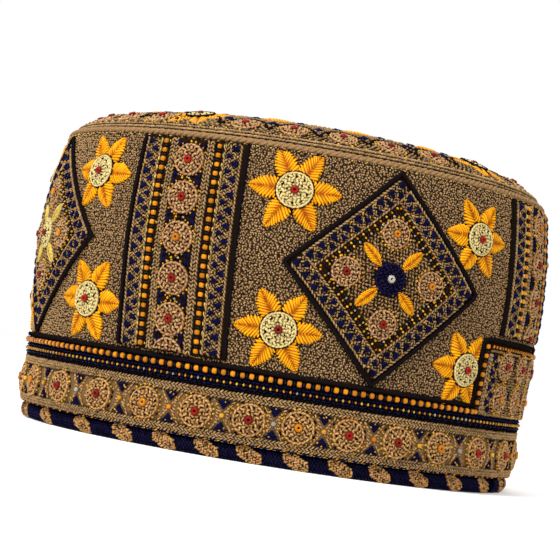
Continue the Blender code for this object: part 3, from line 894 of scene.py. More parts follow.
def crocheted(work, place, radius, size, rise, finish, lift, rounds, holes):
    """A crocheted round: a cushion of a dome's height, rounds of slanted stitches that overlap on
    it, and rings of small dark grains between them, painted shade in its holes, all scaled by a size."""
    dome(work, place, radius * 0.98, rise, finish, lift)
    for count, reach, slant, *shape, loose in rounds:
        px, py, run = ring(count, reach * radius)
        high = lift + 0.1 + rise * (1.0 - min(reach, 0.96) ** 2) ** 0.6
        work.sew(place, STITCH, finish, px, py, run + slant, size * np.array(shape), high, loose)
    # Painted shade: dark grains raised over the stitches where the crochet's holes are.
    for count, reach, width in holes:
        px, py, run = ring(count, reach * radius, 0.5)
        high = lift + 0.62 + rise * (1.0 - reach**2) ** 0.6
        wide = width * size
        work.sew(place, GRAIN, "hole", px, py, run, (1.5 * wide, 1.15 * wide, 0.4), high, 0.9)


def middle_bead(work, place, finish, width, hole, lift):
    """A ring bead on a round's middle. Its hole is a black seed of a width, a depth and a lift,
    which paints the shade inside the bead's hole.
    """
    wide, deep, up = hole
    work.sew(place, RING_BEAD, finish, 0.0, 0.0, 0.0, (width, width, width * 0.5), lift + 0.85)
    work.sew(place, SEED, "black", 0.0, 0.0, 0.0, (wide, wide, deep), lift + up)


def rosette(work, place, x, y, radius, finish, centre, lift, seeds=22, seed_finish="gold_bead"):
    """A crocheted button with a ring bead in its middle and a ring of seed beads round it."""
    here = turned_place(place, x, y, work.rng.uniform(0.0, 60.0))
    size = radius / BUTTON_RADIUS
    crocheted(work, here, radius, size, 0.7, finish, lift, BUTTON_ROUNDS, BUTTON_HOLES)
    middle_bead(work, here, centre, 2.75 * size, (1.2 * size, 0.5, 0.9), lift)
    if seeds == 0:
        return
    px, py, run = ring(seeds, radius + 0.45)
    kinds = work.rng.random(seeds)
    for base, kind, few, shape, high in (
        (SEED, seed_finish, kinds < 0.62, (1.0, 1.05, 1.0), lift - 0.1),
        (SEED, "orange_bead", kinds >= 0.9, (1.0, 1.05, 1.0), lift - 0.1),
        (STITCH, "hole", (kinds >= 0.62) & (kinds < 0.9), (1.3, 0.7, 0.6), lift),
    ):
        work.sew(here, base, kind, px[few], py[few], run[few], shape, high, 0.6)


def petal(work, place, start, length, half_width, finish, lift, rise, thread_width=None):
    """A satin-stitched petal along +x. Each thread runs from the midrib outwards and forwards to
    the outline. Its height is an arch across the petal plus a ridge for each thread, less a groove
    at the midrib. The threads of one side lie half a thread on from those of the other."""
    threads = max(5, int(round(length / (thread_width or size_of("petal_thread")))))
    rows = 3 * threads + 1
    s = np.linspace(-0.12, 0.97, rows)[:, None]
    t = np.array([-1.0, -0.82, -0.4, 0.0, 0.4, 0.82, 1.0])[None, :]
    share, half = np.array(half_width, dtype=float).T
    near_tip = np.clip((1.05 - s) / 0.35, 0.0, 1.0)
    forward = PETAL_SLANT * np.interp(s, share, half) / length * near_tip
    end = np.minimum(s + forward, 1.0)
    phase = (np.arange(rows)[:, None] + np.where(t < 0.0, 1, 0)) % 3
    ridge = np.choose(phase, (0.0, 1.0, 0.82))
    body = np.interp(end, share, half)
    loose = 1.0 + 0.34 * (ridge - 0.7) + 0.05 * work.rng.standard_normal((rows, 1))
    width = np.maximum(body * np.where(np.abs(t) > 0.9, loose, 1.0), 0.12)
    x = start + length * (s + (end - s) * np.abs(t))
    arch = np.sqrt(np.clip(1.0 - (0.96 * t) ** 2, 0.0, 1.0)) * (0.35 + 0.65 * body / half.max())
    groove = np.exp(-((t / 0.16) ** 2))
    high = lift + rise * arch + 0.42 * ridge * (1.0 - 0.3 * np.abs(t)) - 0.5 * groove
    # Tone: painted shade between the threads' ridges and in the midrib's groove, a wider band darker towards
    # the midrib, and random tone per row and per point.
    midrib_darkening = np.exp(-((t / 0.42) ** 2)) * (0.32 + 0.14 * work.rng.standard_normal((rows, 1)))
    tone = 0.04 + 0.84 * ridge - 0.34 * groove - midrib_darkening + 0.13 * work.rng.standard_normal((rows, 1))
    tone = np.clip(tone + 0.1 * work.rng.standard_normal(x.shape), 0.0, 1.0)
    work.slab(place, x, t * width, lift - 0.2, high, finish, tone, flip=True)


def disc(work, place, radius, lift):
    """A flower's crocheted disc: a raised edge, rounds of crossing stitches and a ring bead."""
    size = radius / DISC_RADIUS
    crocheted(work, place, radius, size, 0.8, "cream", lift, DISC_ROUNDS, DISC_HOLES)
    middle_bead(work, place, "red_bead", 3.0 * size, (1.3 * size, 0.6, 0.95), lift)


def kept(place, keep):
    """A place whose x and y are first drawn in by a function, as a seam holds stitches back."""
    return lambda x, y, lift: place(*keep(x, y), lift)


def bloom(work, place, size, lift, disc_lift=0.8, rise=1.2):
    """A flower of six satin petals round a crocheted disc with a dark outline."""
    for number in range(6):
        angle = 60.0 * number + work.rng.uniform(-2.5, 2.5)
        length = size * size_of("petal_length") * work.rng.uniform(0.95, 1.03)
        widths = [(s, w * size * work.rng.uniform(0.96, 1.04)) for s, w in PETAL_WIDTHS]
        along = turned_place(place, 0.0, 0.0, angle)
        petal(work, along, size * 5.4, length, widths, "satin", lift, rise)
    turn = np.linspace(0.0, 2.0 * np.pi, 41)[:-1]
    radius = size * size_of("disc_radius")
    reach = 1.03 * radius
    path = np.stack([reach * np.cos(turn), reach * np.sin(turn)], axis=1)
    work.line(place, path, (0.55, 1.5), "black", lift, closed=True)
    disc(work, place, radius, lift + disc_lift)


def triangles(work, place, x, y, angle, width, height, lift):
    """Navy satin triangles: five stitches side by side, each shorter than the one before."""
    x, y, turn = np.broadcast_arrays(np.asarray(x, float), np.asarray(y, float), np.radians(angle))
    for number in range(5):
        up = (number + 0.5) / 5.0 - 0.42
        px = x - up * height * np.sin(turn)
        py = y + up * height * np.cos(turn)
        size = (width * (1.12 - 0.22 * number), height / 2.9, 0.8)
        work.sew(place, STITCH, "navy", px, py, angle, size, lift, 0.2)


def run_of(first, last, pitch):
    """Places from first to last at about a pitch, with half a step free at each end."""
    count = max(1, int(round((last - first) / pitch)))
    return first + (np.arange(count) + 0.5) * (last - first) / count


def chain(work, place, along, across, slant, finish, upright=False, size=ROW_STITCH, lift=0.0, jitter=0.5):
    """A row of slanted stitches along x, or along y where it is upright."""
    x, y, turn = (across, along, 90.0 + slant) if upright else (along, across, slant)
    work.sew(place, STITCH, finish, x, y, turn, size, lift, jitter)


def beads_on(work, place, along, across, finish, size, lift, upright=False, base=SEED):
    """A row of beads threaded along x, or along y where it is upright."""
    x, y, turn = (across, along, 90.0) if upright else (along, across, 0.0)
    work.sew(place, base, finish, x, y, turn, size, lift, 0.25)


def bead_line(work, place, along, across, height, small, lift, upright=True, shift=1.55):
    """A row of large orange beads, with a small navy one a shift on from each but the last."""
    large = (size_of("bead_length"), size_of("bead_width"), height)
    beads_on(work, place, along, across, "orange_bead", large, lift, upright, BEAD)
    beads_on(work, place, along[:-1] + shift, across, "navy_bead", small, lift, upright)


def scattered(work, place, x, y, finish, size, lift):
    """Seed beads at given places."""
    work.sew(place, SEED, finish, x, y, work.rng.uniform(0.0, 180.0, np.size(x)), size, lift, 0.3)


# Pieces


def level_place(height):
    """Cloth coordinates round the whole cap, with y counted from the floor and x true at a height."""
    reach = wall_radius(height)

    def place(x, y, lift):
        return around(np.asarray(x) / reach, wall_radius(y) + lift, np.asarray(y, dtype=float))

    return place


def circle_run(height, pitch, phase=0.0):
    """Evenly spaced x round the whole cap at a height, for level_place."""
    length = 2.0 * np.pi * wall_radius(height)
    count = int(round(length / pitch))
    return length * (np.arange(count) + phase) / count


def band_ground(work, low, high, outer, finish, rows=4, tone=0.5):
    """A turned strip that follows the wall between two heights, with a crowned face."""
    heights = np.linspace(low, high, rows)
    out = wall_radius(heights) + outer - 0.3 * np.linspace(-1.0, 1.0, rows) ** 2
    back = wall_radius(heights[::-1]) + 0.3
    section = np.concatenate([section_rows(out, heights), section_rows(back, heights[::-1])])
    work.turn(section, 240, finish, tone=tone)


def fill(work, place, x, y, lean, lift, size=(1.9, 1.0, 0.6)):
    """Short filling stitches at given places, each with its lean."""
    work.sew(place, GRAIN, "filling", x, y, lean, size, lift, 0.9)


def grain_places(work, width, rise, pitch):
    """Rows of places over a width and a rise, every other row half a step on, and then loosened."""
    x, y = np.meshgrid(np.arange(0.0, width, pitch), np.arange(0.0, rise, 0.86 * pitch))
    x = x + 0.5 * pitch * (np.arange(len(y))[:, None] % 2)
    x = x + 0.22 * work.rng.standard_normal(x.shape)
    y = y + 0.18 * work.rng.standard_normal(y.shape)
    return x.ravel(), y.ravel()


def open_wall(azimuth, height):
    """True where the wall's pile shows: clear of strips, square panels, discs and front panel."""

    def away_from(centre):
        """The distance along the wall from an azimuth."""
        return turn_between(azimuth, centre) * np.radians(wall_radius(height))

    shown = (np.abs(away_from(0.0)) > PANEL_HALF) | (height > PANEL_TOP)
    for _, centre, half, lean, low in COLUMNS:
        up = (height - 0.5 * (low + COLUMN_TOP)) / (0.5 * (COLUMN_TOP - low))
        shown &= (np.abs(away_from(centre) - lean * up) > half - 0.2) | (height < low)
    for centre in DIAMONDS:
        shown &= np.abs(away_from(centre)) + np.abs(height - DIAMOND_HEIGHT) > DIAMOND_REACH
    for centre, level, size in FLOWERS:
        shown &= np.hypot(away_from(centre), height - level) > DISC_COVER * size
    return shown


def pile_place(x, y, lift):
    """Cloth coordinates round the wall, with x true at the pile's radius and y from the floor."""
    return around(x / PILE_RADIUS, wall_radius(y) + lift, y)


def sew_pile(work, place, x, y, shown, size):
    """Sew grains at the shown places, each near one of four directions."""
    count = shown.sum()
    turn = work.rng.choice(PILE_TURNS, count) + work.rng.normal(0.0, 18.0, count)
    work.sew(place, GRAIN, "pile", x[shown], y[shown], turn, size, -0.08, 0.6)
    work.piece("field_cloth")


def dress_pile():
    """The field's curled pile: thousands of short grains, each a low three-sided spindle."""
    wall = Work("wall_pile", 11)
    length = 2.0 * np.pi * PILE_RADIUS
    x, y = grain_places(wall, length, 73.4, size_of("grain_pitch"))
    x, y = x % length, y + 31.8
    shown = open_wall(np.degrees(x / PILE_RADIUS), y) & (y < 105.2)
    sew_pile(wall, pile_place, x, y, shown, (1.15, 0.85, 0.55))
    crown = Work("crown_pile", 12)
    half = 91.0
    x, y = grain_places(crown, 2.0 * half, 2.0 * half, 1.32)
    x, y = x - half, y - half
    reach = np.hypot(x, y)
    shown = (reach < CROWN_RING[0] - 0.4) & (reach > MEDALLION_RADIUS + 0.2)
    sew_pile(crown, on_crown(0.0, 0.0), x, y, shown, (1.8, 1.15, 0.6))


def dress_shell():
    """The wall and crown: turned cloth that follows their profiles, with a plain cotton lining."""
    wall = Work("wall_cloth", 1)
    heights = np.linspace(HEM_TOP + 0.3, SEAM_HEIGHT - 0.2, 22)
    inside = heights[::-3]
    out = section_rows(wall_radius(heights), heights)
    back = section_rows(wall_radius(inside) - WALL_THICKNESS, inside)
    wall.turn(np.concatenate([out, back]), 180, "field", "lining")
    made = wall.piece("field_cloth", ["side_wall"])

    crown = Work("crown_cloth", 2)
    edge = wall_radius(SEAM_HEIGHT) - 1.8
    radii = edge * np.sqrt(np.linspace(0.0, 1.0, 18))
    top = section_rows(radii, crown_height(radii))
    under = section_rows(radii[:16], crown_height(radii[:16]) - CROWN_THICKNESS)
    seat = SEAM_HEIGHT - 1.5
    rim = [(edge - WALL_THICKNESS, seat), (edge, seat)]
    crown.turn(np.concatenate([under, rim, top[::-1]]), 180, "field", "lining")
    made = crown.piece("field_cloth", ["crown"])


def dress_piping():
    """A rope of three strands over the seam. A strand's middle goes round the rope's by a helix."""
    piping = Work("seam_piping", 3)
    length = 2.0 * np.pi * wall_radius(SEAM_HEIGHT)
    turns = int(round(length / 7.2))
    strand_width = size_of("strand_width")
    place = level_place(SEAM_HEIGHT)
    along = length * np.arange(720) / 720
    for strand in range(3):
        phase = -2.0 * np.pi * (turns * along / length + strand / 3.0)
        path = np.stack([along, SEAM_HEIGHT + 0.9 + 0.58 * np.cos(phase)], axis=1)
        lift = -1.5 + 0.58 * np.sin(phase)[:, None]
        piping.line(place, path, (strand_width, strand_width), "piping", lift, closed=True, twist=1.1)
    dark, pale = circle_run(104.4, 2.3), circle_run(104.4, 4.6)
    chain(piping, place, dark, 104.5, 0.0, "hole", size=(1.4, 0.5, 0.5), jitter=0.3)
    chain(piping, place, pale, 104.5, 12.0, "straw", size=(1.2, 0.5, 0.6), lift=0.2)
    piping.piece("piping_cord", ["top_piping"])


def hem_place(x, y, lift):
    """Cloth coordinates on the hem roll: y runs up the outer face, which bulges at its middle."""
    height = np.clip(HEM_MIDDLE + np.asarray(y, dtype=float), 0.05, HEM_TOP + 0.4)
    face = 92.0 - 0.16 * (height - HEM_MIDDLE) ** 2
    return around(np.asarray(x, dtype=float) / HEM_RADIUS, face + lift, height)


def dress_hem():
    """The navy hem roll, padded, with a tan leaf of stitches and gold seeds at each turn."""
    hem = Work("hem_roll", 4)
    turn = np.radians(np.array([-90, -62, -35, -12, 12, 35, 62, 90, 118, 145, 180, 215, 242, 262]))
    high = np.clip(2.75 + 2.75 * np.sin(turn) * 1.04, 0.0, HEM_TOP)
    hem.turn(section_rows(89.5 + 2.5 * np.cos(turn), high), 300, "navy_ground")
    for azimuth in all_round(HEM_LEAVES, HEM_LEAF_COUNT):
        here = turned_place(hem_place, np.radians(azimuth) * HEM_RADIUS, 0.0, -27.0)
        for row, across in enumerate((-1.8, -0.95, 0.0, 0.95, 1.8)):
            half = 4.9 * np.sqrt(1.0 - (across / 2.4) ** 2)
            along = run_of(-half, half, 1.1)
            lean = 40.0 * (-1) ** row
            chain(hem, here, along, across, lean, "gold_tan", False, (1.8, 1.15, 0.8), -0.1, 0.7)
        px, py = hem.rng.uniform(-3.2, 3.2, 9), hem.rng.uniform(-1.4, 1.4, 9)
        scattered(hem, here, px, py, "hole", (0.75, 0.65, 0.35), 0.55)
        turns = hem.rng.uniform(0.0, 2.0 * np.pi, 12)
        kinds = hem.rng.choice([0, 1], 12)
        px, py = 4.4 * np.cos(turns), 2.2 * np.sin(turns)
        for kind, (finish, size) in enumerate((("gold_bead", 0.8), ("orange_bead", 0.7))):
            some = kinds == kind
            scattered(hem, here, px[some], py[some], finish, (size, size, 0.7), 0.1)
    for row in range(5):
        along = circle_run(3.0, 1.15, 0.35 * row)
        hem.sew(hem_place, GRAIN, "hem_navy", along, 0.95 * row - 2.1, -58.0, (2.1, 1.1, 0.6), -0.3, 0.6)
    hem.piece("hem_roll", ["hem_binding"])


def dress_braids():
    """Two flat braids of slanted stitches in three rows that lean left and right in turn."""
    for name, low, high, rows, node_name in (
        ("braid_low", 5.8, 8.8, (6.7, 7.6, 8.5), "lower_braid"),
        ("braid_high", 19.9, 22.6, (20.3, 21.2, 22.1), "upper_braid"),
    ):
        braid = Work(name, 5)
        band_ground(braid, low, high, 1.0, "ground")
        place = level_place(0.5 * (low + high))
        for row, height in enumerate(rows):
            along = circle_run(height, 1.3, 0.5 * (row % 2))
            lean = 36.0 * (-1) ** row
            chain(braid, place, along, height, lean, "tan", size=(2.0, 0.9, 0.6), lift=1.0, jitter=0.45)
        if low < 10.0:
            along = circle_run(5.9, 2.2)
            chain(braid, place, along, 5.95, 0.0, "navy", size=(2.2, 0.8, 0.7), lift=0.7, jitter=0.2)
            chain(braid, place, along[::2], 6.0, 25.0, "satin", size=(1.3, 0.55, 0.6), lift=1.1)
        braid.piece("braid", [node_name])


def dress_rosette_band():
    """The band of crocheted buttons, with navy triangles and a bead in each gap."""
    band = Work("rosette_band_stitches", 6)
    band_ground(band, 8.9, 19.7, 0.95, "filling", 6, 0.2)
    azimuths = np.array(all_round(BAND_AZIMUTHS, BAND_COUNT))
    after = np.append(azimuths[1:], azimuths[0] + 360.0)
    for number, (azimuth, next_one) in enumerate(zip(azimuths, after)):
        place = on_wall(azimuth, BAND_MIDDLE)
        centre = "red_bead" if number % 3 else "orange_bead"
        rosette(band, place, 0.0, 0.0, size_of("band_button"), "gold_tan", centre, 1.0)
        half = 0.5 * np.radians(next_one - azimuth) * wall_radius(BAND_MIDDLE)
        here = on_wall(0.5 * (azimuth + next_one), BAND_MIDDLE)
        kind = ("gold_bead", "clear_bead", "gold_bead", "orange_bead")[number % 4]
        band.sew(here, BEAD, kind, 0.0, 0.0, 90.0, (1.6, 1.7, 1.6), 1.0)
        width = min(5.0, 0.95 * half)
        triangles(band, here, 0.0, 3.9, 180.0, width, 2.7, 1.05)
        triangles(band, here, 0.0, -3.9, 0.0, width, 2.7, 1.05)
        for side in (-1.0, 1.0):
            for up in (-1.0, 1.0):
                x = side * np.array([0.9, 1.7, 2.5, 3.2])
                y = up * np.array([1.3, 2.4, 3.5, 4.6])
                lean = 53.0 * side * up
                chain(band, here, x, y, lean, "gold_tan", False, (1.7, 0.8, 0.6), 0.8, 0.6)
            y = run_of(-3.0, 3.0, 1.0)
            chain(band, here, y, side * 1.7, 60.0, "gold_tan", True, (1.5, 0.7, 0.6), 0.8)
        x = band.rng.uniform(-3.4, 3.4, 10)
        y = np.sign(band.rng.standard_normal(10)) * (5.0 - 0.75 * np.abs(x))
        scattered(band, here, x, y, "gold_bead", (0.75, 0.75, 0.7), 1.3)
    band.piece("rosette_cloth", ["rosette_band"])


def dress_tape():
    """Two rows of beads on navy tape. The upper row leaves the front panel's width free."""
    tape = Work("bead_tape_stitches", 7)
    band_ground(tape, 22.8, 30.0, 1.0, "navy_ground", 5)
    place = level_place(26.0)
    upper = run_of(29.2, 2.0 * np.pi * wall_radius(26.0) - 29.2, size_of("bead_pitch"))
    bead_line(tape, place, upper, 28.4, 1.5, (0.95, 2.2, 1.4), 0.8, upright=False)
    lower = circle_run(25.2, 2.2)
    kind = tape.rng.random(len(lower))
    for finish, some in (
        ("gold_bead", kind < 0.5),
        ("orange_bead", (kind >= 0.5) & (kind < 0.92)),
        ("clear_bead", kind >= 0.92),
    ):
        beads_on(tape, place, lower[some], 25.3, finish, (1.1, 1.2, 1.1), 0.9)
    beads_on(tape, place, lower + 1.1, 25.3, "navy_bead", (1.0, 1.2, 1.0), 0.9)
    for height, pitch, finish in ((26.6, 1.5, "navy"), (24.2, 1.6, "navy"), (23.3, 1.5, "black")):
        along = circle_run(height, pitch)
        chain(tape, place, along, height, 12.0, finish, size=(1.7, 0.8, 0.5), lift=0.9)
    scattered(tape, place, circle_run(23.9, 3.3), 24.0, "navy_bead", (0.9, 0.9, 0.8), 1.0)
    tape.piece("bead_tape", ["bead_tape_lower", "bead_tape_upper"])


def rail_path():
    """The black cord's route in x and y of the rail's level_place, with a point each millimetre:
    round the cap, up, over and down the front panel, with round corners."""
    corner = np.radians(np.arange(0.0, 91.0, 15.0))
    length = 2.0 * np.pi * wall_radius(RAIL_HEIGHT)
    round_x = np.arange(PANEL_HALF + 1.5, length - PANEL_HALF - 1.0)
    climb = np.arange(33.0, 50.5)
    left = -PANEL_HALF + PANEL_CORNER * (1.0 - np.cos(corner))
    corner_y = PANEL_TOP - PANEL_CORNER * (1.0 - np.sin(corner))
    over = np.arange(-27.2, 27.3)
    x = [round_x - length, np.full(len(climb), -PANEL_HALF), left, over]
    x += [-left[::-1], np.full(len(climb), PANEL_HALF)]
    y = [np.full(len(round_x), RAIL_HEIGHT), climb, corner_y, np.full(len(over), PANEL_TOP)]
    y += [corner_y[::-1], climb[::-1]]
    return np.stack([np.concatenate(x), np.concatenate(y)], axis=1)


def dress_rail():
    """The black cord over the tape: a flat cord with a woven twist along its route."""
    rail = Work("black_rail_cord", 8)
    size = (size_of("cord_width"), 1.2)
    rail.line(level_place(RAIL_HEIGHT), rail_path(), size, "black", 0.4, closed=True, twist=2.4)
    rail.piece("black_cord", ["rail_cord"])


def patch(work, place, half_width, half_height, columns=16, rows=16):
    """A closed patch of brown cloth round a place, whose edges lie lower than its face."""
    s, t = np.meshgrid(np.linspace(0.0, 1.0, columns + 1), np.linspace(0.0, 1.0, rows + 1))
    edge = np.minimum(np.minimum(s, 1.0 - s) * columns, np.minimum(t, 1.0 - t) * rows)
    lift = 0.5 + 0.6 * np.clip(edge, 0.0, 1.0)
    work.slab(place, (2.0 * s - 1.0) * half_width, (2.0 * t - 1.0) * half_height, 0.3, lift, "ground")


def black_cord(work, place, x, half, steps, width):
    """A black cord along y at an x, from one end to the other."""
    path = np.stack([np.full(steps, x), np.linspace(-half, half, steps)], axis=1)
    work.line(place, path, width, "black", 0.6, twist=2.4)


def border_side(work, place, first, last, width, pitch=5.3):
    """A strip along y between two distances in x: rows of tan stitches that lean in turn, with navy
    triangles sewn over them from both edges, one after the other, and a few gold seeds."""
    low, high = width
    middle = 0.5 * (low + high)
    across = high - low
    rows = max(3, int(round(across / 1.0)) + 1)
    along = run_of(first, last, 1.35)
    for row, x in enumerate(np.linspace(low, high, rows)):
        edge = row in (0, rows - 1)
        lean = (24.0 if edge else 46.0) * (-1) ** row
        size, loose = ((1.9, 0.95, 0.75), 0.4) if edge else ((1.8, 0.85, 0.5), 0.8)
        chain(work, place, along + 0.65 * (row % 2), x, lean, "tan", True, size, 1.0, loose)
    count = max(1, int(round((last - first) / (0.5 * pitch))))
    step = (last - first) / count
    centre = first + (np.arange(count) + 0.5) * step
    sign = np.where(np.arange(count) % 2 == 0, 1.0, -1.0)
    x = middle + sign * 0.17 * across
    for some, long, tall in ((sign > 0, 3.0, 2.6), (sign < 0, 2.4, 2.2)):
        triangles(work, place, x[some], centre[some], 90.0 * sign[some], long, tall, 1.35)
    seeds = work.rng.random(count) < 0.6
    spot = middle - sign[seeds] * 0.34 * across
    scattered(work, place, spot, centre[seeds], "gold_bead", (0.75, 0.8, 0.7), 1.4)


def column_side(work, place, side, rise, spread):
    """One side of a strip: its cord, its border, a line of beads and three rows of stitches."""
    black_cord(work, place, side * 20.3 * spread, rise, 60, (size_of("cord_width"), 1.1))
    mirrored = turned_place(place, 0.0, 0.0, 0.0 if side > 0 else 180.0)
    border_side(work, mirrored, -rise + 0.5, rise - 0.5, (12.6 * spread, 18.4 * spread))
    x = side * 10.4 * spread
    beads_y = run_of(-rise, rise, size_of("bead_pitch"))
    bead_line(work, place, beads_y, x, 1.6, (1.1, 3.0, 1.5), 0.7)
    for shift in (-1.5, 1.5):
        along = run_of(-rise, rise, 2.0)
        chain(work, place, along, x + shift, 0.0, "black", True, (2.3, 0.8, 0.6), 0.8, 0.15)
    chain(work, place, beads_y, x + 1.75 * side, 6.0, "straw", True, (1.8, 0.6, 0.8), 1.2, 0.3)
    few = beads_y[work.rng.random(len(beads_y)) < 0.4]
    chain(work, place, few, x - 1.7 * side, 20.0, "straw", True, (1.1, 0.55, 0.7), 1.3, 0.4)
    along = run_of(-rise, rise, 1.3)
    for x, slant in ((8.05, 32.0), (7.05, -32.0), (6.15, 32.0)):
        chain(work, place, along, side * x * spread, side * slant, "tan", True, (1.9, 0.9, 0.6), 1.0)


def column_gap(work, place, y):
    """Between two of a strip's buttons: four navy triangles, three beads and four gold seeds."""
    for side in (-1.0, 1.0):
        triangles(work, place, side * 3.9, y + 1.15, 90.0 * side, 2.4, 3.0, 1.1)
        triangles(work, place, side * 3.9, y - 1.25, 90.0 * side, 2.4, 3.0, 1.1)
    for kind, x in (("gold_bead", -1.3), ("navy_bead", 0.0), ("clear_bead", 1.3)):
        scattered(work, place, x, y, kind, (1.1, 1.2, 1.1), 1.2)
    seeds_y = y + np.array([0.9, -0.9, -1.4, 1.3])
    scattered(work, place, np.array([-2.2, 2.2, -2.4, 2.4]), seeds_y, "gold_bead", (0.8, 0.8, 0.8), 1.2)


def dress_columns():
    """The four upright strips: rosettes down the middle, bead lines and zigzags beside them."""
    for seed, (name, azimuth, half, lean, low) in enumerate(COLUMNS, 20):
        work = Work(name + "_stitches", seed)
        middle = 0.5 * (low + COLUMN_TOP)
        rise = 0.5 * (COLUMN_TOP - low)
        place = on_wall(azimuth, middle, lean / rise)
        patch(work, place, half, rise)
        for side in (-1.0, 1.0):
            column_side(work, place, side, rise, half / STRIP_HALF)
        heights = [z for z in COLUMN_ROSETTES if z > low - 1.5]
        for number, z in enumerate(heights):
            centre = "red_bead" if number % 4 != 3 else "orange_bead"
            cut = place
            if z - 5.5 < low:
                cut = kept(place, lambda x, y, below=0.3 - rise: (x, np.maximum(y, below)))
            rosette(work, cut, 0.0, z - middle, size_of("strip_button"), "rose", centre, 1.1)
        for lower, upper in zip(heights[:-1], heights[1:]):
            column_gap(work, place, 0.5 * (lower + upper) - middle)
        for side in (-1.0, 1.0):
            triangles(work, place, side * 4.0, rise - 1.9, 90.0 * side, 2.6, 2.8, 1.1)
        work.piece("column_cloth", [name])


def diamond_side(work, side, half):
    """One side of a square panel: its cord, its border and a double line of seed beads."""
    black_cord(work, side, half - 0.2, half + 0.4, 50, (size_of("cord_width") + 0.15, 1.2))
    border_side(work, side, -23.9, 18.4, (18.5, 23.8), 5.0)
    for x, kinds in (
        (17.3, ("gold_bead", "navy_bead", "orange_bead", "navy_bead")),
        (15.9, ("navy_bead", "clear_bead", "navy_bead", "gold_bead")),
    ):
        y = run_of(-x + 0.4, x - 0.2, 1.25)
        for k, kind in enumerate(kinds):
            beads_on(work, side, y[k::4], x, kind, (1.05, 1.15, 1.05), 1.1, True)


def fill_diamond(work, square):
    """A square panel's tan filling, clear of the middle button and the four in the corners."""
    x, y = np.meshgrid(np.arange(-14.4, 14.5, 1.5), np.arange(-14.8, 14.9, 0.95))
    x = x + 0.75 * (np.round(y / 0.95) % 2)
    clear = (np.hypot(x, y) > 5.4) & (np.abs(x) < 15.2)
    for corner_x, corner_y in ((10.8, 10.8), (-10.8, 10.8), (10.8, -10.8), (-10.8, -10.8)):
        clear &= np.hypot(x - corner_x, y - corner_y) > 5.0
    fill(work, square, x[clear], y[clear], work.rng.choice(FILL_TURNS, clear.sum()), 1.0)


def dress_diamonds():
    """The square panels on a corner: each side has a zigzag border and a double line of beads,
    and the middle has five rosettes and four satin leaves."""
    half = size_of("panel_half_side")
    for number, azimuth in enumerate(DIAMONDS, 1):
        name = "diamond_%d" % number
        work = Work(name + "_stitches", 30 + number)
        place = on_wall(azimuth, DIAMOND_HEIGHT)
        square = turned_place(place, 0.0, 0.0, 45.0)
        patch(work, square, half, half)
        for turn in (0.0, 90.0, 180.0, 270.0):
            diamond_side(work, turned_place(square, 0.0, 0.0, turn), half)
        fill_diamond(work, square)
        for x, y, centre in (
            (15.3, 0.0, "orange_bead"),
            (0.0, 15.3, "orange_bead"),
            (-15.3, 0.0, "red_bead"),
            (0.0, -15.3, "red_bead"),
        ):
            rosette(work, place, x, y, size_of("panel_button"), "rose", centre, 1.0)
        pale = number == 1
        for angle in (45.0, 135.0, 225.0, 315.0):
            here = turned_place(place, 0.0, 0.0, angle)
            petal(work, here, 6.2, 8.8, LEAF_WIDTHS, "straw" if pale else "satin", 1.1, 0.9, 0.6)
        if pale:
            disc(work, place, 5.6, 1.1)
        else:
            rosette(work, place, 0.0, 0.0, 5.5, "hem_navy", "clear_bead", 1.1, 24, "navy_bead")
        work.piece("diamond_cloth", [name])


def dress_panel():
    """The small front panel: beads and borders beside it and over it, and six rosettes."""
    work = Work("front_panel_stitches", 40)
    low, high = 27.2, 53.3
    middle = 0.5 * (low + high)
    half_rise = 0.5 * (high - low)
    place = on_wall(0.0, middle)
    patch(work, place, 30.2, half_rise, 24, 12)
    up = run_of(-half_rise - 0.4, half_rise - 0.2, size_of("bead_pitch"))
    long = run_of(-half_rise + 1.0, half_rise - 4.0, 1.3)
    for side in (-1.0, 1.0):
        bead_line(work, place, up, side * 29.3, 1.5, (0.95, 2.4, 1.4), 0.8, shift=1.5)
        chain(work, place, long, side * 26.8, 30.0 * side, "tan", True, lift=1.0)
        chain(work, place, long, side * 25.8, -30.0 * side, "tan", True, lift=1.0)
        mirrored = turned_place(place, 0.0, 0.0, 0.0 if side > 0 else 180.0)
        ends = sorted((side * (1.2 - half_rise), side * (half_rise - 4.0)))
        border_side(work, mirrored, *ends, (21.2, 25.2))
    across = run_of(-27.0, 27.0, 2.0)
    top = half_rise - 1.6
    beads_on(work, place, across, top, "orange_bead", (1.1, 1.3, 1.2), 1.0)
    beads_on(work, place, across[:-1] + 1.0, top, "navy_bead", (0.9, 1.2, 1.1), 1.0)
    long = run_of(-26.5, 26.5, 1.3)
    chain(work, place, long, half_rise - 3.0, 30.0, "tan", lift=1.0)
    chain(work, place, long, -half_rise + 0.8, 30.0, "tan", lift=1.0)
    gx, gy = np.meshgrid(np.arange(-20.4, 20.5, 1.5), np.arange(-11.4, 9.4, 0.95))
    gx = gx + 0.7 * (np.round(gy / 0.95) % 2)
    clear = np.ones(gx.shape, dtype=bool)
    spots = [(x, z - middle) for x in (-15.2, 0.0, 15.2) for z in (34.0, 45.6)]
    for x, y in spots:
        clear &= np.hypot(gx - x, gy - y) > 5.5
    fill(work, place, gx[clear], gy[clear], 30.0, 1.0)
    for number, (x, y) in enumerate(spots):
        centre = "red_bead" if number % 2 else "orange_bead"
        rosette(work, place, x, y, size_of("panel_button"), "rose", centre, 1.1)
    x, y = np.array([-7.6, 7.6, -7.6, 7.6]), np.array([-5.0, -5.0, 7.0, 7.0])
    triangles(work, place, x, y, 0.0, 3.6, 3.2, 1.1)
    work.piece("panel_cloth", ["front_panel"])


